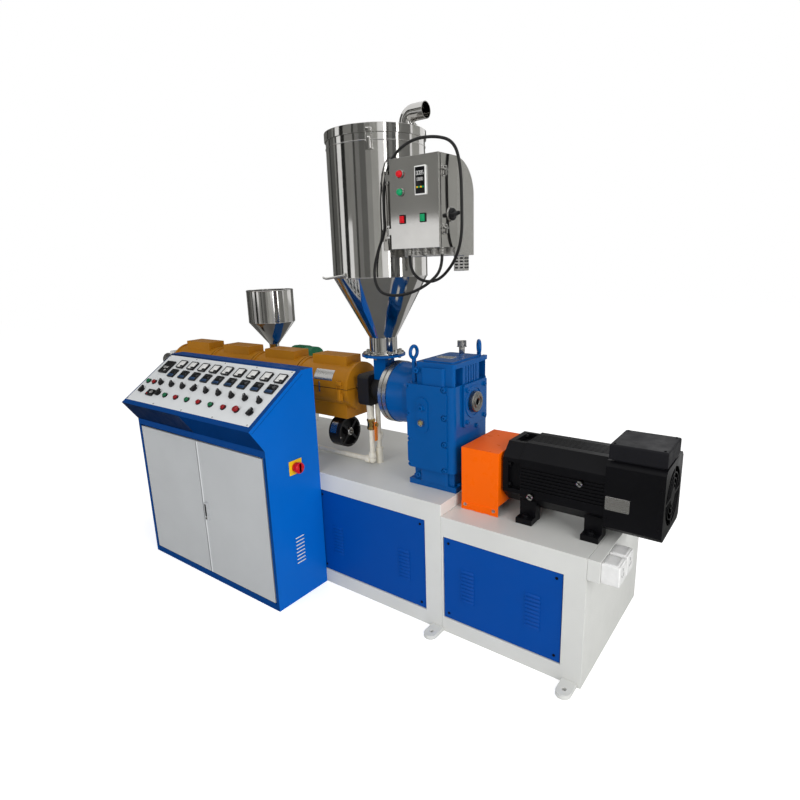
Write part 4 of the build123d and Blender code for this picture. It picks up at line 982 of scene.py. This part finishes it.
class StrawHeaterFittings(Operator):
    """Latches, seams, straps and blank plates of the heater covers"""

    bl_idname = "straw.heater_fittings"
    bl_label = "Heater fittings"

    def execute(self, context):
        axis = screw_axis()
        ends = [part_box(f"heater_cover_{zone}")[1][0] for zone in range(1, 5)]
        front = [upright((x - 0.053, -0.119, axis), forward) for x in ends]
        fastened(toggle_latch(0.04), front, "cover_latches", "gold_enamel")
        seam = slab(0.376, 0.003, 0.001, 0.001, 0.0003)
        seams = [upright((x - 0.19, -0.1196, axis), forward) for x in ends]
        fastened(seam, seams, "cover_seams", "black_plastic")
        front = [upright((x - 0.192, -0.119, axis), forward) for x in ends]
        fastened(slab(0.008, 0.055, 0.006, 0.002, 0.001), front, "cover_straps", "bolt_steel")
        plates = [curved_plate(0.1203, 0.13, (x - 0.173, 0, axis), 18, 45, 0.0012) for x in ends]
        finished(joined(plates), "cover_plates", "satin_steel")
        return {"FINISHED"}


class StrawBlowerFittings(Operator):
    """Hub caps, rim screws and blank plates of the barrel blowers"""

    bl_idname = "straw.blower_fittings"
    bl_label = "Blower fittings"

    def execute(self, context):
        low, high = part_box("barrel_blowers")
        axis = low[2] + (high[1] - low[1]) / 2
        faces = [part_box(f"heater_cover_{zone}")[1][0] - 0.107 for zone in range(1, 5)]
        cap = inset(stud(0.021, 0.004, 0.0015), upward, 0.006, 0.0015)
        caps = [on((x, 0, axis), rightward) for x in faces]
        fastened(cap, caps, "blower_caps", "polished_steel")
        rim = circled(0.078, 4)
        heads = [on((x, y, axis + z), rightward) for x in faces for y, z in rim]
        fastened(dome_screw(0.004, 0.0025), heads, "blower_screws", "bolt_steel")
        plates = [curved_plate(0.0842, 0.042, (x - 0.045, 0, axis), 6, 48, 0.0008) for x in faces]
        finished(joined(plates), "blower_plates", "satin_steel")
        return {"FINISHED"}


class StrawPipeFittings(Operator):
    """Sockets, union nut, valve nuts and lever of the water pipes"""

    bl_idname = "straw.pipe_fittings"
    bl_label = "Pipe fittings"

    def execute(self, context):
        low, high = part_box("water_supply_pipe")
        x, y, run = high[0] - 0.018, (low[1] + high[1]) / 2, low[2] + 0.023
        back_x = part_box("water_return_pipe")[0][0] + 0.018
        collar = disc(0.0195, 0.028, (0, 0, 0), sides=36)
        round_edges(collar, 0.003, 3)
        smooth(collar, 40)
        spots = [at(x, y, run + 0.028), on((x - 0.028, y, run), rightward)]
        spots += [on((low[0] + 0.046, y, run), rightward), at(back_x, 0, low[2] + 0.07)]
        spots.append(at(x, y, high[2] - 0.013))
        fastened(collar, spots, "pipe_sockets", "pipe_plastic")
        nut = disc(0.0235, 0.024, (0, 0, 0), sides=8)
        round_edges(nut, 0.0025, 2)
        fastened(smooth(nut, 30), [at(back_x, 0, low[2] + 0.147)], "pipe_union_nut", "pipe_plastic")
        valve_low, valve_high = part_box("water_valve")
        hexes = [at(x, y, valve_low[2] + 0.008), at(x, y, valve_high[2] - 0.008)]
        hexagon = disc(0.0225, 0.014, (0, 0, 0), sides=6)
        round_edges(hexagon, 0.0015, 2)
        fastened(smooth(hexagon, 30), hexes, "valve_hexagons", "valve_brass")
        softened("valve_lever", 0.0018, 3)
        return {"FINISHED"}


class StrawVesselFittings(Operator):
    """Beads, lid latches, rod handle and exhaust bolts of the dryer's vessel"""

    bl_idname = "straw.vessel_fittings"
    bl_label = "Vessel fittings"

    def execute(self, context):
        low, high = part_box("dryer_vessel")
        radius = high[0]
        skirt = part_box("dryer_lid")[0][2]
        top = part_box("exhaust_elbow")[0][2]
        beads = [hoop(radius, 0.0024, (0, 0, skirt - 0.029), sides=96)]
        beads.append(hoop(radius - 0.0006, 0.0018, (0, 0, low[2] + 0.286), sides=96))
        for bead in beads:
            smooth(bead, 60)
        finished(joined(beads), "vessel_beads", "polished_steel")
        spots = []
        for angle in (-58, 62, 182):
            side = Vector((math.cos(math.radians(angle)), math.sin(math.radians(angle)), 0))
            spots.append(upright(side * radius + Vector((0, 0, skirt - 0.016)), side))
        fastened(toggle_latch(0.034), spots, "lid_latches", "polished_steel")

        rod = disc(0.0055, 0.1, (0, 0, 0.05), sides=20)
        pick(rod, faces=facing(upward))
        for step in ((0.002, 0, 0.012), (0.006, 0, 0.01)):
            bpy.ops.mesh.extrude_region_move(TRANSFORM_OT_translate={"value": step})
        leave_edit()
        handle = joined([smooth(rod, 60), stud(0.011, 0.014, 0.004)])
        spot = on((-0.02, -radius + 0.004, low[2] + 0.3), (-0.97, -0.2, -0.13))
        fastened(handle, [spot], "gate_handle", "satin_steel")

        neck_x = 0.178
        bolts = [at(neck_x + x, y, top + 0.008) for x, y in circled(0.039, 6)]
        fastened(hex_bolt(0.003, 0.003), bolts, "exhaust_bolts", "bolt_steel")
        return {"FINISHED"}


class StrawDryerDoor(Operator):
    """Lamps, controller and rocker switches on the dryer's door"""

    bl_idname = "straw.dryer_door"
    bl_label = "Dryer door"

    def execute(self, context):
        softened("dryer_box_door", 0.002, 3)
        body = "dryer_box_door"
        low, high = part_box("dryer_box_door")
        left = high[0] - sizes().dryer_box_width

        def spot(across, down):
            return upright((left + across, low[1], high[2] - down), forward)

        lamps = {"red": spot(0.061, 0.059), "green": spot(0.061, 0.125)}
        bezel = inset(stud(0.0165, 0.006, 0.002), upward, 0.003, -0.002)
        fastened(bezel, list(lamps.values()), "door_lamp_bezels", "bolt_steel", body)
        for shade, place in lamps.items():
            fastened(stud(0.0125, 0.017, 0.007), [place], f"door_{shade}_lamp", f"{shade}_plastic", body)

        middle = spot(0.158, 0.091)
        border = slab(0.051, 0.104, 0.006, 0.003, 0.001)
        fastened(border, [middle], "dryer_controller_frame", "dial_card", body)
        face = inset(slab(0.043, 0.095, 0.0072, 0.002, 0.0005), upward, 0.0025, -0.0006)
        fastened(face, [middle], "dryer_controller_face", "black_plastic", body)
        rows = [(digits("0085", 0.013, 0.0088), 0.026), (digits("0080", 0.01, 0.007), 0.004)]
        numbers = joined([moved(row, (0, up, 0.0066)) for row, up in rows])
        fastened(numbers, [middle], "dryer_controller_digits", "dial_card", body)
        for shade, spots in (("yellow", (-0.013, 0.0045)), ("green", (-0.0043, 0.0133))):
            key = slab(0.0065, 0.006, 0.0022, 0.0015, 0.0006)
            keys = [middle @ at(x, -0.024, 0.006) for x in spots]
            fastened(key, keys, f"dryer_keys_{shade}", f"{shade}_plastic", body)

        rockers = {"red": spot(0.067, 0.226), "green": spot(0.164, 0.225)}
        rim = inset(slab(0.027, 0.034, 0.004, 0.003, 0.001), upward, 0.003, -0.0015)
        fastened(rim, list(rockers.values()), "rocker_rims", "black_plastic", body)
        for shade, place in rockers.items():
            rocker = slab(0.019, 0.026, 0.008, 0.002, 0.0015)
            tilt = place @ rolled(7, "X")
            fastened(rocker, [tilt], f"rocker_{shade}", f"{shade}_plastic", body)
        return {"FINISHED"}


class StrawDryerBox(Operator):
    """Side latches, knob and glands of the dryer's box and air housing, and painted shade in their fan slots
    """

    bl_idname = "straw.dryer_box"
    bl_label = "Dryer box"

    def execute(self, context):
        softened("dryer_control_box", 0.0012)
        softened("dryer_air_housing", 0.002)
        low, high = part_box("dryer_control_box")
        right, top = high[0], high[2]
        wings = [slab(0.026, 0.042, 0.003, 0.007, 0.001)]
        wings.append(moved(slab(0.009, 0.034, 0.011, 0.003, 0.003), (0, 0, 0.003)))
        wings.append(moved(slab(0.028, 0.008, 0.009, 0.003, 0.002), (0, 0.004, 0.003)))
        latches = [upright((right, low[1] + 0.037, top - down), rightward) for down in (0.062, 0.27)]
        fastened(joined(wings), latches, "box_latches", "polished_steel")
        place = upright((right, low[1] + 0.087, top - 0.215), rightward)
        fastened(stud(0.029, 0.003, 0.001), [place], "box_knob_plate", "satin_steel")
        grip = moved(slab(0.015, 0.05, 0.024, 0.005, 0.004), (0, 0, 0.003))
        knob = joined([moved(stud(0.023, 0.009, 0.003), (0, 0, 0.003)), grip])
        fastened(knob, [place @ rolled(-75)], "box_knob", "black_plastic")

        nut = disc(0.0145, 0.009, (0, 0, 0.02), sides=6)
        round_edges(nut, 0.0012, 2)
        cap = disc(0.013, 0.011, (0, 0, 0.0065), sides=6)
        round_edges(cap, 0.002, 2)
        gland = smooth(joined([nut, cap]), 30)
        width, count = sizes().dryer_box_width, 5
        step = width / (count + 1)
        places = [at(right - width + step * place, -0.196, low[2]) for place in range(1, count + 1)]
        fastened(gland, places, "gland_nuts", "satin_steel")

        # Black slabs stand for the shade inside the fan slots: painted shade
        rows = [1.592 + 0.013 * row for row in range(4)]
        vents = [upright((x, -0.0398, z), forward) for x in (0.445, 0.469) for z in rows]
        vents += [upright((0.4818, y, z), rightward) for y in (-0.029, -0.01) for z in rows]
        fastened(slab(0.015, 0.0065, 0.0012, 0.002, 0.0003), vents, "fan_slot_shade", "black_plastic")
        return {"FINISHED"}


class StrawCabinetFittings(Operator):
    """Two-tone coat, main switch, door strip and handle inlay of the cabinet, its vent slats painted pale as
    highlights, and a line of painted shade along its side's fold
    """

    bl_idname = "straw.cabinet_fittings"
    bl_label = "Cabinet fittings"

    def execute(self, context):
        shell = softened("cabinet_shell", 0.0015, where=above(0.02))
        shell.data.materials.append(finishes["front_coat"])
        for face in shell.data.polygons:
            face.material_index = int(abs(face.normal.x) < 0.5 and face.normal.y < 0.5)
        softened("cabinet_door_frame", 0.0015)
        softened("main_switch_plate", 0.0015)
        softened("main_switch_knob", 0.003, 3)
        low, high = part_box("main_switch_knob")
        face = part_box("main_switch_plate")[1][0]
        place = on((face + 0.002, (low[1] + high[1]) / 2, (low[2] + high[2]) / 2), rightward)
        fastened(stud(0.027, 0.015, 0.005), [place], "main_switch_dial", "red_plastic", "main_switch_knob")
        right = "cabinet_right_door"
        low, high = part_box(right)
        strip = slab(0.009, 0.735, 0.0016, 0.001, 0.0004)
        place = upright((low[0] + 0.0055, high[1] - 0.016, (low[2] + high[2]) / 2), forward)
        fastened(strip, [place], "door_strip", "plate_coat", right)
        place = upright((low[0] + 0.034, low[1], 0.402), forward)
        inlay = moved(slab(0.013, 0.07, 0.0012, 0.006, 0.0004), (0, 0.006, -0.0004))
        fastened(inlay, [place], "handle_inlay", "black_plastic", right)
        lock = moved(stud(0.007, 0.002, 0.0006), (0, -0.038, -0.0004))
        fastened(lock, [place], "handle_lock", "bolt_steel", right)
        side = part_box("cabinet_shell")[1][0]
        # Pale slats on the blue side: painted highlights on the lips of the vent louvres
        slats = [upright((side - 0.0014, -0.4385, 0.194 + 0.019 * row), rightward) for row in range(8)]
        fastened(slab(0.054, 0.005, 0.0016, 0.0015, 0.0004), slats, "vent_slat_highlights", "plate_coat")
        # Dark line on the blue side along its fold: painted shade of the crease
        fold = bar((0.0014, 0.385, 0.002), (0, 0, 0))
        round_edges(fold, 0.0004, 1)
        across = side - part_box("cabinet_shell")[0][0]
        fastened(fold, [slope(across, 0.2, -0.018)], "side_fold_shade_line", "front_coat")
        return {"FINISHED"}


class StrawInstruments(Operator):
    """Meters, controllers, knobs, buttons, lamps and displays of the sloped panel"""

    bl_idname = "straw.instruments"
    bl_label = "Instruments"

    def execute(self, context):
        self.meters()
        self.controllers()
        self.displays()
        self.knobs()
        self.buttons()
        edge = [slope(0.026 + 0.2555 * count, up) for count in range(5) for up in (0.034, 0.374)]
        fastened(dome_screw(0.004, 0.002), edge, "plate_screws", "bolt_steel")
        return {"FINISHED"}

    def row(self, first, up, pitch, count):
        return [slope(first + pitch * place, up) for place in range(count)]

    def button_row(self):
        return self.row(0.313, 0.0985, sizes().button_pitch, 8)

    def meters(self):
        places = self.row(0.208, 0.32, sizes().zone_pitch, sizes().zones)
        rim = inset(slab(0.057, 0.055, 0.012, 0.003, 0.0015), upward, 0.0045, -0.003)
        shown = fastened(rim, places, "meter_rims", "black_plastic")
        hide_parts("panel_meters")
        card = moved(slab(0.047, 0.045, 0.0006, 0.001, 0.0002), (0, 0, 0.0092))
        fastened(card, places, "meter_cards", "dial_card")
        mark = moved(slab(0.0008, 0.0045, 0.0003, 0.0002, 0.0001), (0, 0.031, 0))
        pivot_x, pivot_y = 0.017, -0.015
        turns = [rolled(angle) for angle in (84, 63, 42, 21, 0)]
        marks = moved(repeated(mark, turns), (pivot_x, pivot_y, 0.0097))
        needle = moved(slab(0.0009, 0.028, 0.0004, 0.0002, 0.0001), (0, 0.014, 0))
        needle.data.transform(rolled(78))
        moved(needle, (pivot_x, pivot_y, 0.0102))
        corner = moved(slab(0.019, 0.013, 0.0012, 0.003, 0.0004), (0.0135, -0.0155, 0.0097))
        drawn = joined([marks, needle, corner])
        fastened(drawn, places, "meter_marks", "black_plastic")

    def controllers(self):
        places = self.row(0.2, 0.251, sizes().zone_pitch, sizes().zones)
        rim = inset(slab(0.055, 0.055, 0.009, 0.003, 0.0012), upward, 0.003, -0.0008)
        fastened(rim, places, "controller_rims", "black_plastic")
        strip = moved(slab(0.046, 0.015, 0.0008, 0.0015, 0.0002), (0, -0.016, 0.0082))
        fastened(strip, places, "controller_strips", "strip_plastic")
        window = moved(slab(0.044, 0.023, 0.0006, 0.001, 0.0002), (0, 0.009, 0.0082))
        fastened(window, places, "controller_windows", "window_lens")
        key = moved(slab(0.0065, 0.004, 0.0008, 0.001, 0.0003), (0, -0.017, 0.009))
        row = repeated(key, [at(x, 0, 0) for x in (-0.0135, -0.0045, 0.0045, 0.0135)])
        fastened(row, places, "controller_keys", "black_plastic")

    def displays(self):
        tall, small = slope(0.098, 0.287), slope(0.178, 0.096)
        rim = inset(slab(0.076, 0.088, 0.01, 0.003, 0.0015), upward, 0.005, -0.0015)
        fastened(rim, [tall], "display_rim", "black_plastic")
        low = inset(slab(0.06, 0.04, 0.01, 0.003, 0.0015), upward, 0.004, -0.0015)
        fastened(low, [small], "small_display_rim", "black_plastic")
        glass = 0.0087
        rows = [moved(digits("0000", 0.012, 0.0105), (0, -0.004, glass))]
        rows.append(moved(digits("00", 0.009, 0.0085), (0.012, -0.026, glass)))
        fastened(joined(rows), [tall], "display_digits", "dial_card")
        number = moved(digits("00", 0.013, 0.0125), (0.006, 0.003, glass))
        fastened(number, [small], "small_display_digits", "dial_card")
        key = moved(slab(0.008, 0.005, 0.0015, 0.001, 0.0004), (-0.019, -0.012, 0.0085))
        fastened(key, [small], "small_display_key", "red_plastic")

    def knobs(self):
        skirt = disc(0.0155, 0.009, (0, 0, 0.0045), sides=28)
        pick(skirt, faces=lambda face: abs(face.normal.z) < 0.1 and face.index % 2 == 0)
        bpy.ops.mesh.inset(thickness=0.0004, use_individual=True)
        bpy.ops.mesh.extrude_faces_move(TRANSFORM_OT_shrink_fatten={"value": -0.001})
        leave_edit()
        grip = moved(slab(0.013, 0.042, 0.013, 0.004, 0.003), (0, 0.002, 0.008))
        knob = joined([smooth(skirt, 30), grip])
        places = self.row(0.183, 0.172, 0.1025, sizes().zones)
        places += [self.button_row()[-1], slope(0.08, 0.103), slope(0.243, 0.103)]
        angles = (40, 40, 40, -5, 40, 40, 40, 40, 40, -5, 10, 5)
        turned_places = [place @ rolled(angle) for place, angle in zip(places, angles)]
        line = moved(slab(0.0016, 0.009, 0.0004, 0.0004, 0.0001), (0, 0.0125, 0.0208))
        shown = fastened(knob, turned_places, "selector_knobs", "black_plastic")
        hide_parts("panel_knobs")
        fastened(line, turned_places, "selector_lines", "dial_card")

    def buttons(self):
        row = self.button_row()[:-1]
        lamps = [slope(0.06, 0.17), slope(0.117, 0.17)]
        bezel = inset(stud(0.0155, 0.006, 0.0015), upward, 0.0025, -0.0015)
        shown = fastened(bezel, row + lamps, "button_bezels", "black_plastic")
        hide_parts("panel_buttons")
        button = stud(0.0115, 0.014, 0.003)
        green = [row[0], row[2], row[4], lamps[0]]
        red = [row[1], row[3], row[5], lamps[1]]
        fastened(twin(button, Matrix()), green, "green_buttons", "green_lens")
        fastened(button, red, "red_buttons", "red_lens")
        shank = stud(0.012, 0.012, 0.001)
        head = moved(stud(0.0165, 0.009, 0.005), (0, 0, 0.011))
        fastened(joined([shank, head]), [row[6]], "stop_button", "red_lens")


class StrawSmallExtruder(Operator):
    """Rim of the small hopper and bands of the green motor"""

    bl_idname = "straw.small_extruder"
    bl_label = "Small extruder"

    def execute(self, context):
        low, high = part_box("co_hopper")
        centre = ((low[0] + high[0]) / 2, (low[1] + high[1]) / 2)
        rim = hoop((high[0] - low[0]) / 2 - 0.002, 0.0035, (*centre, high[2] - 0.002), sides=72)
        bead = hoop((high[0] - low[0]) / 2 - 0.001, 0.0016, (*centre, high[2] - 0.204), sides=72)
        beads = joined([smooth(rim, 60), smooth(bead, 60)])
        finished(beads, "hopper_rim", "polished_steel")
        softened("co_motor", 0.004, 3)
        low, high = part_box("co_motor")
        axis = ((low[1] + high[1]) / 2, high[2] - 0.072)
        fin = disc(0.076, 0.004, (0, 0, 0), sides=48)
        round_edges(fin, 0.0012, 2)
        spots = [on((low[0] + 0.035 + 0.011 * count, axis[0], axis[1]), rightward) for count in range(8)]
        fastened(smooth(fin, 40), spots, "green_motor_fins", "green_enamel")
        return {"FINISHED"}


class StrawGuardFittings(Operator):
    """Screws of the coupling guard"""

    bl_idname = "straw.guard_fittings"
    bl_label = "Guard fittings"

    def execute(self, context):
        low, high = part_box("coupling_guard")
        heads = [on((x, low[1], low[2] + 0.024), forward) for x in (low[0] + 0.02, high[0] - 0.02)]
        fastened(hex_bolt(0.006, 0.005), heads, "guard_screws", "bolt_steel")
        return {"FINISHED"}


class StrawStage(Operator):
    """Sets the floor, the soft light and the camera"""

    bl_idname = "straw.stage"
    bl_label = "Stage"

    def execute(self, context):
        self.floor()
        self.surroundings(context.scene)
        self.cards()
        self.lamps(context.collection)
        self.camera(context)
        context.scene.view_settings.view_transform = "Standard"
        return {"FINISHED"}

    def matt(self, name, shade, rough):
        material, tree, surface = paint_nodes(name)
        surface.inputs["Base Color"].default_value = (*shade, 1)
        surface.inputs["Roughness"].default_value = rough
        surface.inputs["Specular IOR Level"].default_value = 0.0
        return material, tree, surface

    def floor(self):
        """Pale floor, lifted to white for the camera's own rays alone."""
        clear_selection()
        bpy.ops.mesh.primitive_plane_add(size=40, location=(0, 0, 0))
        floor = settle(bpy.context.object, "studio_floor")
        material, tree, surface = self.matt("studio_floor", (0.86, 0.86, 0.86), 0.9)
        glow = tree.nodes.new("ShaderNodeEmission")
        glow.inputs["Color"].default_value = (1, 1, 1, 1)
        path = tree.nodes.new("ShaderNodeLightPath")
        seen = tree.nodes.new("ShaderNodeMath")
        seen.operation = "MULTIPLY"
        tree.links.new(path.outputs["Is Camera Ray"], seen.inputs[0])
        seen.inputs[1].default_value = 0.55
        tree.links.new(seen.outputs["Value"], glow.inputs["Strength"])
        both = tree.nodes.new("ShaderNodeAddShader")
        tree.links.new(surface.outputs["BSDF"], both.inputs[0])
        tree.links.new(glow.outputs["Emission"], both.inputs[1])
        tree.links.new(both.outputs["Shader"], tree.nodes["Material Output"].inputs["Surface"])
        floor.data.materials.append(material)

    def surroundings(self, scene):
        """White all round, dimmer for the light that it throws on the machine."""
        world = bpy.data.worlds.new("studio")
        world.use_nodes = True
        scene.world = world
        tree = world.node_tree
        light = tree.nodes["Background"]
        light.inputs["Color"].default_value = (1, 1, 1, 1)
        path = tree.nodes.new("ShaderNodeLightPath")
        clear = path.outputs["Is Camera Ray"]
        for ray in ("Is Glossy Ray", "Is Transmission Ray"):
            either = tree.nodes.new("ShaderNodeMath")
            either.operation = "MAXIMUM"
            tree.links.new(clear, either.inputs[0])
            tree.links.new(path.outputs[ray], either.inputs[1])
            clear = either.outputs["Value"]
        level = tree.nodes.new("ShaderNodeMapRange")
        level.inputs["To Min"].default_value = 0.52
        level.inputs["To Max"].default_value = 1.0
        tree.links.new(clear, level.inputs["Value"])
        tree.links.new(level.outputs["Result"], light.inputs["Strength"])

    def card(self, place, turn, size, shade):
        """Grey card that shows in polished surfaces alone."""
        clear_selection()
        bpy.ops.mesh.primitive_plane_add(size=1, location=place, rotation=turn)
        bpy.context.object.scale = size
        card = settle(bpy.context.object, "studio_card")
        material, tree, surface = self.matt("studio_card", (shade, shade, shade * 0.95), 1.0)
        card.data.materials.append(material)
        card.visible_camera = False
        card.visible_diffuse = False
        card.visible_shadow = False
        card.visible_transmission = False

    def cards(self):
        """Cards round the machine, by first and last angle, shade and lower edge, and one on the floor."""
        distance, top = 4.6, 4.8
        for first, last, shade, bottom in (
            (-200, -184, 0.2, 0), (-184, -176, 0.06, 0), (-176, -160, 0.14, 0), (-160, -154, 0.3, 0),
            (-154, -148, 0.08, 0), (-135, -124, 0.03, 0), (-124, -113, 0.34, 2.1), (-113, -103, 0.34, 0),
            (-103, -98, 0.06, 0), (-98, -88, 0.26, 0), (-88, -74, 0.16, 0), (-74, -62, 0.42, 0),
            (-62, -46, 0.62, 0), (-28, -22, 0.06, 0), (-22, -14, 0.2, 0), (-14, -4, 0.08, 0),
            (0, 32, 0.3, 0), (38, 66, 0.5, 0), (95, 165, 0.2, 0),
        ):
            middle, half = math.radians((first + last) / 2), math.radians((last - first) / 2)
            side = Vector((math.cos(middle), math.sin(middle), 0))
            place = side * distance + Vector((0, 0, (bottom + top) / 2))
            turn = (math.pi / 2, 0, middle + math.pi / 2)
            self.card(place, turn, (2 * distance * math.tan(half), top - bottom, 1), shade)
        self.card((0.2, -1.5, 0.002), (0, 0, 0), (9.0, 7.6, 1), 0.2)

    def lamps(self, collection):
        for name, place, aim, wide, power in (
            ("key_light", (0.2, -5.2, 3.0), (-0.2, 0, 0.7), 4.0, 100),
            ("fill_light", (5.4, -1.4, 2.4), (0.2, 0, 0.7), 3.4, 160),
            ("back_light", (-1.5, 4.5, 4.5), (-0.2, 0, 0.9), 3.0, 30),
        ):
            lamp = bpy.data.lights.new(name, "AREA")
            lamp.size = wide
            lamp.energy = power
            holder = bpy.data.objects.new(name, lamp)
            holder.location = place
            holder.rotation_euler = (Vector(aim) - Vector(place)).to_track_quat("-Z", "Y").to_euler()
            collection.objects.link(holder)

    def camera(self, context):
        """Camera where the photograph was taken from."""
        place = (1.7073, -2.1165, 1.6293)
        tilt, lean, heading = 75.962, 1.84, 36.903
        lens = bpy.data.cameras.new("photo_camera")
        lens.lens = sizes().camera_lens
        lens.sensor_width = 36
        lens.clip_end = 100
        camera = bpy.data.objects.new("photo_camera", lens)
        camera.location = place
        camera.rotation_euler = [math.radians(angle) for angle in (tilt, lean, heading)]
        context.collection.objects.link(camera)
        context.scene.camera = camera


class StrawPanel(Panel):
    """Lists the steps that dress the machine"""

    bl_idname = "VIEW3D_PT_straw"
    bl_label = "Straw Extruder"
    bl_space_type = "VIEW_3D"
    bl_region_type = "UI"
    bl_category = "Straw Extruder"

    def draw(self, context):
        for step in steps:
            self.layout.operator(step.bl_idname)


steps = (
    StrawFinishes, StrawStage, StrawCable, StrawSoftEdges, StrawLouvres, StrawGearboxFittings,
    StrawMotorFittings, StrawSockets, StrawFeedFittings, StrawHeaterFittings, StrawBlowerFittings,
    StrawPipeFittings, StrawVesselFittings, StrawDryerDoor, StrawDryerBox, StrawCabinetFittings,
    StrawInstruments, StrawSmallExtruder, StrawGuardFittings,
)
classes = (StrawSizes, StrawColours, *steps, StrawPanel)


def register():
    for kind in classes:
        bpy.utils.register_class(kind)
    bpy.types.Scene.straw_sizes = PointerProperty(type=StrawSizes)
    bpy.types.Scene.straw_colours = PointerProperty(type=StrawColours)


def unregister():
    del bpy.types.Scene.straw_colours
    del bpy.types.Scene.straw_sizes
    for kind in reversed(classes):
        bpy.utils.unregister_class(kind)


def main():
    register()
    for step in steps:
        group, name = step.bl_idname.split(".")
        getattr(getattr(bpy.ops, group), name)()


if __name__ == "__main__":
    main()
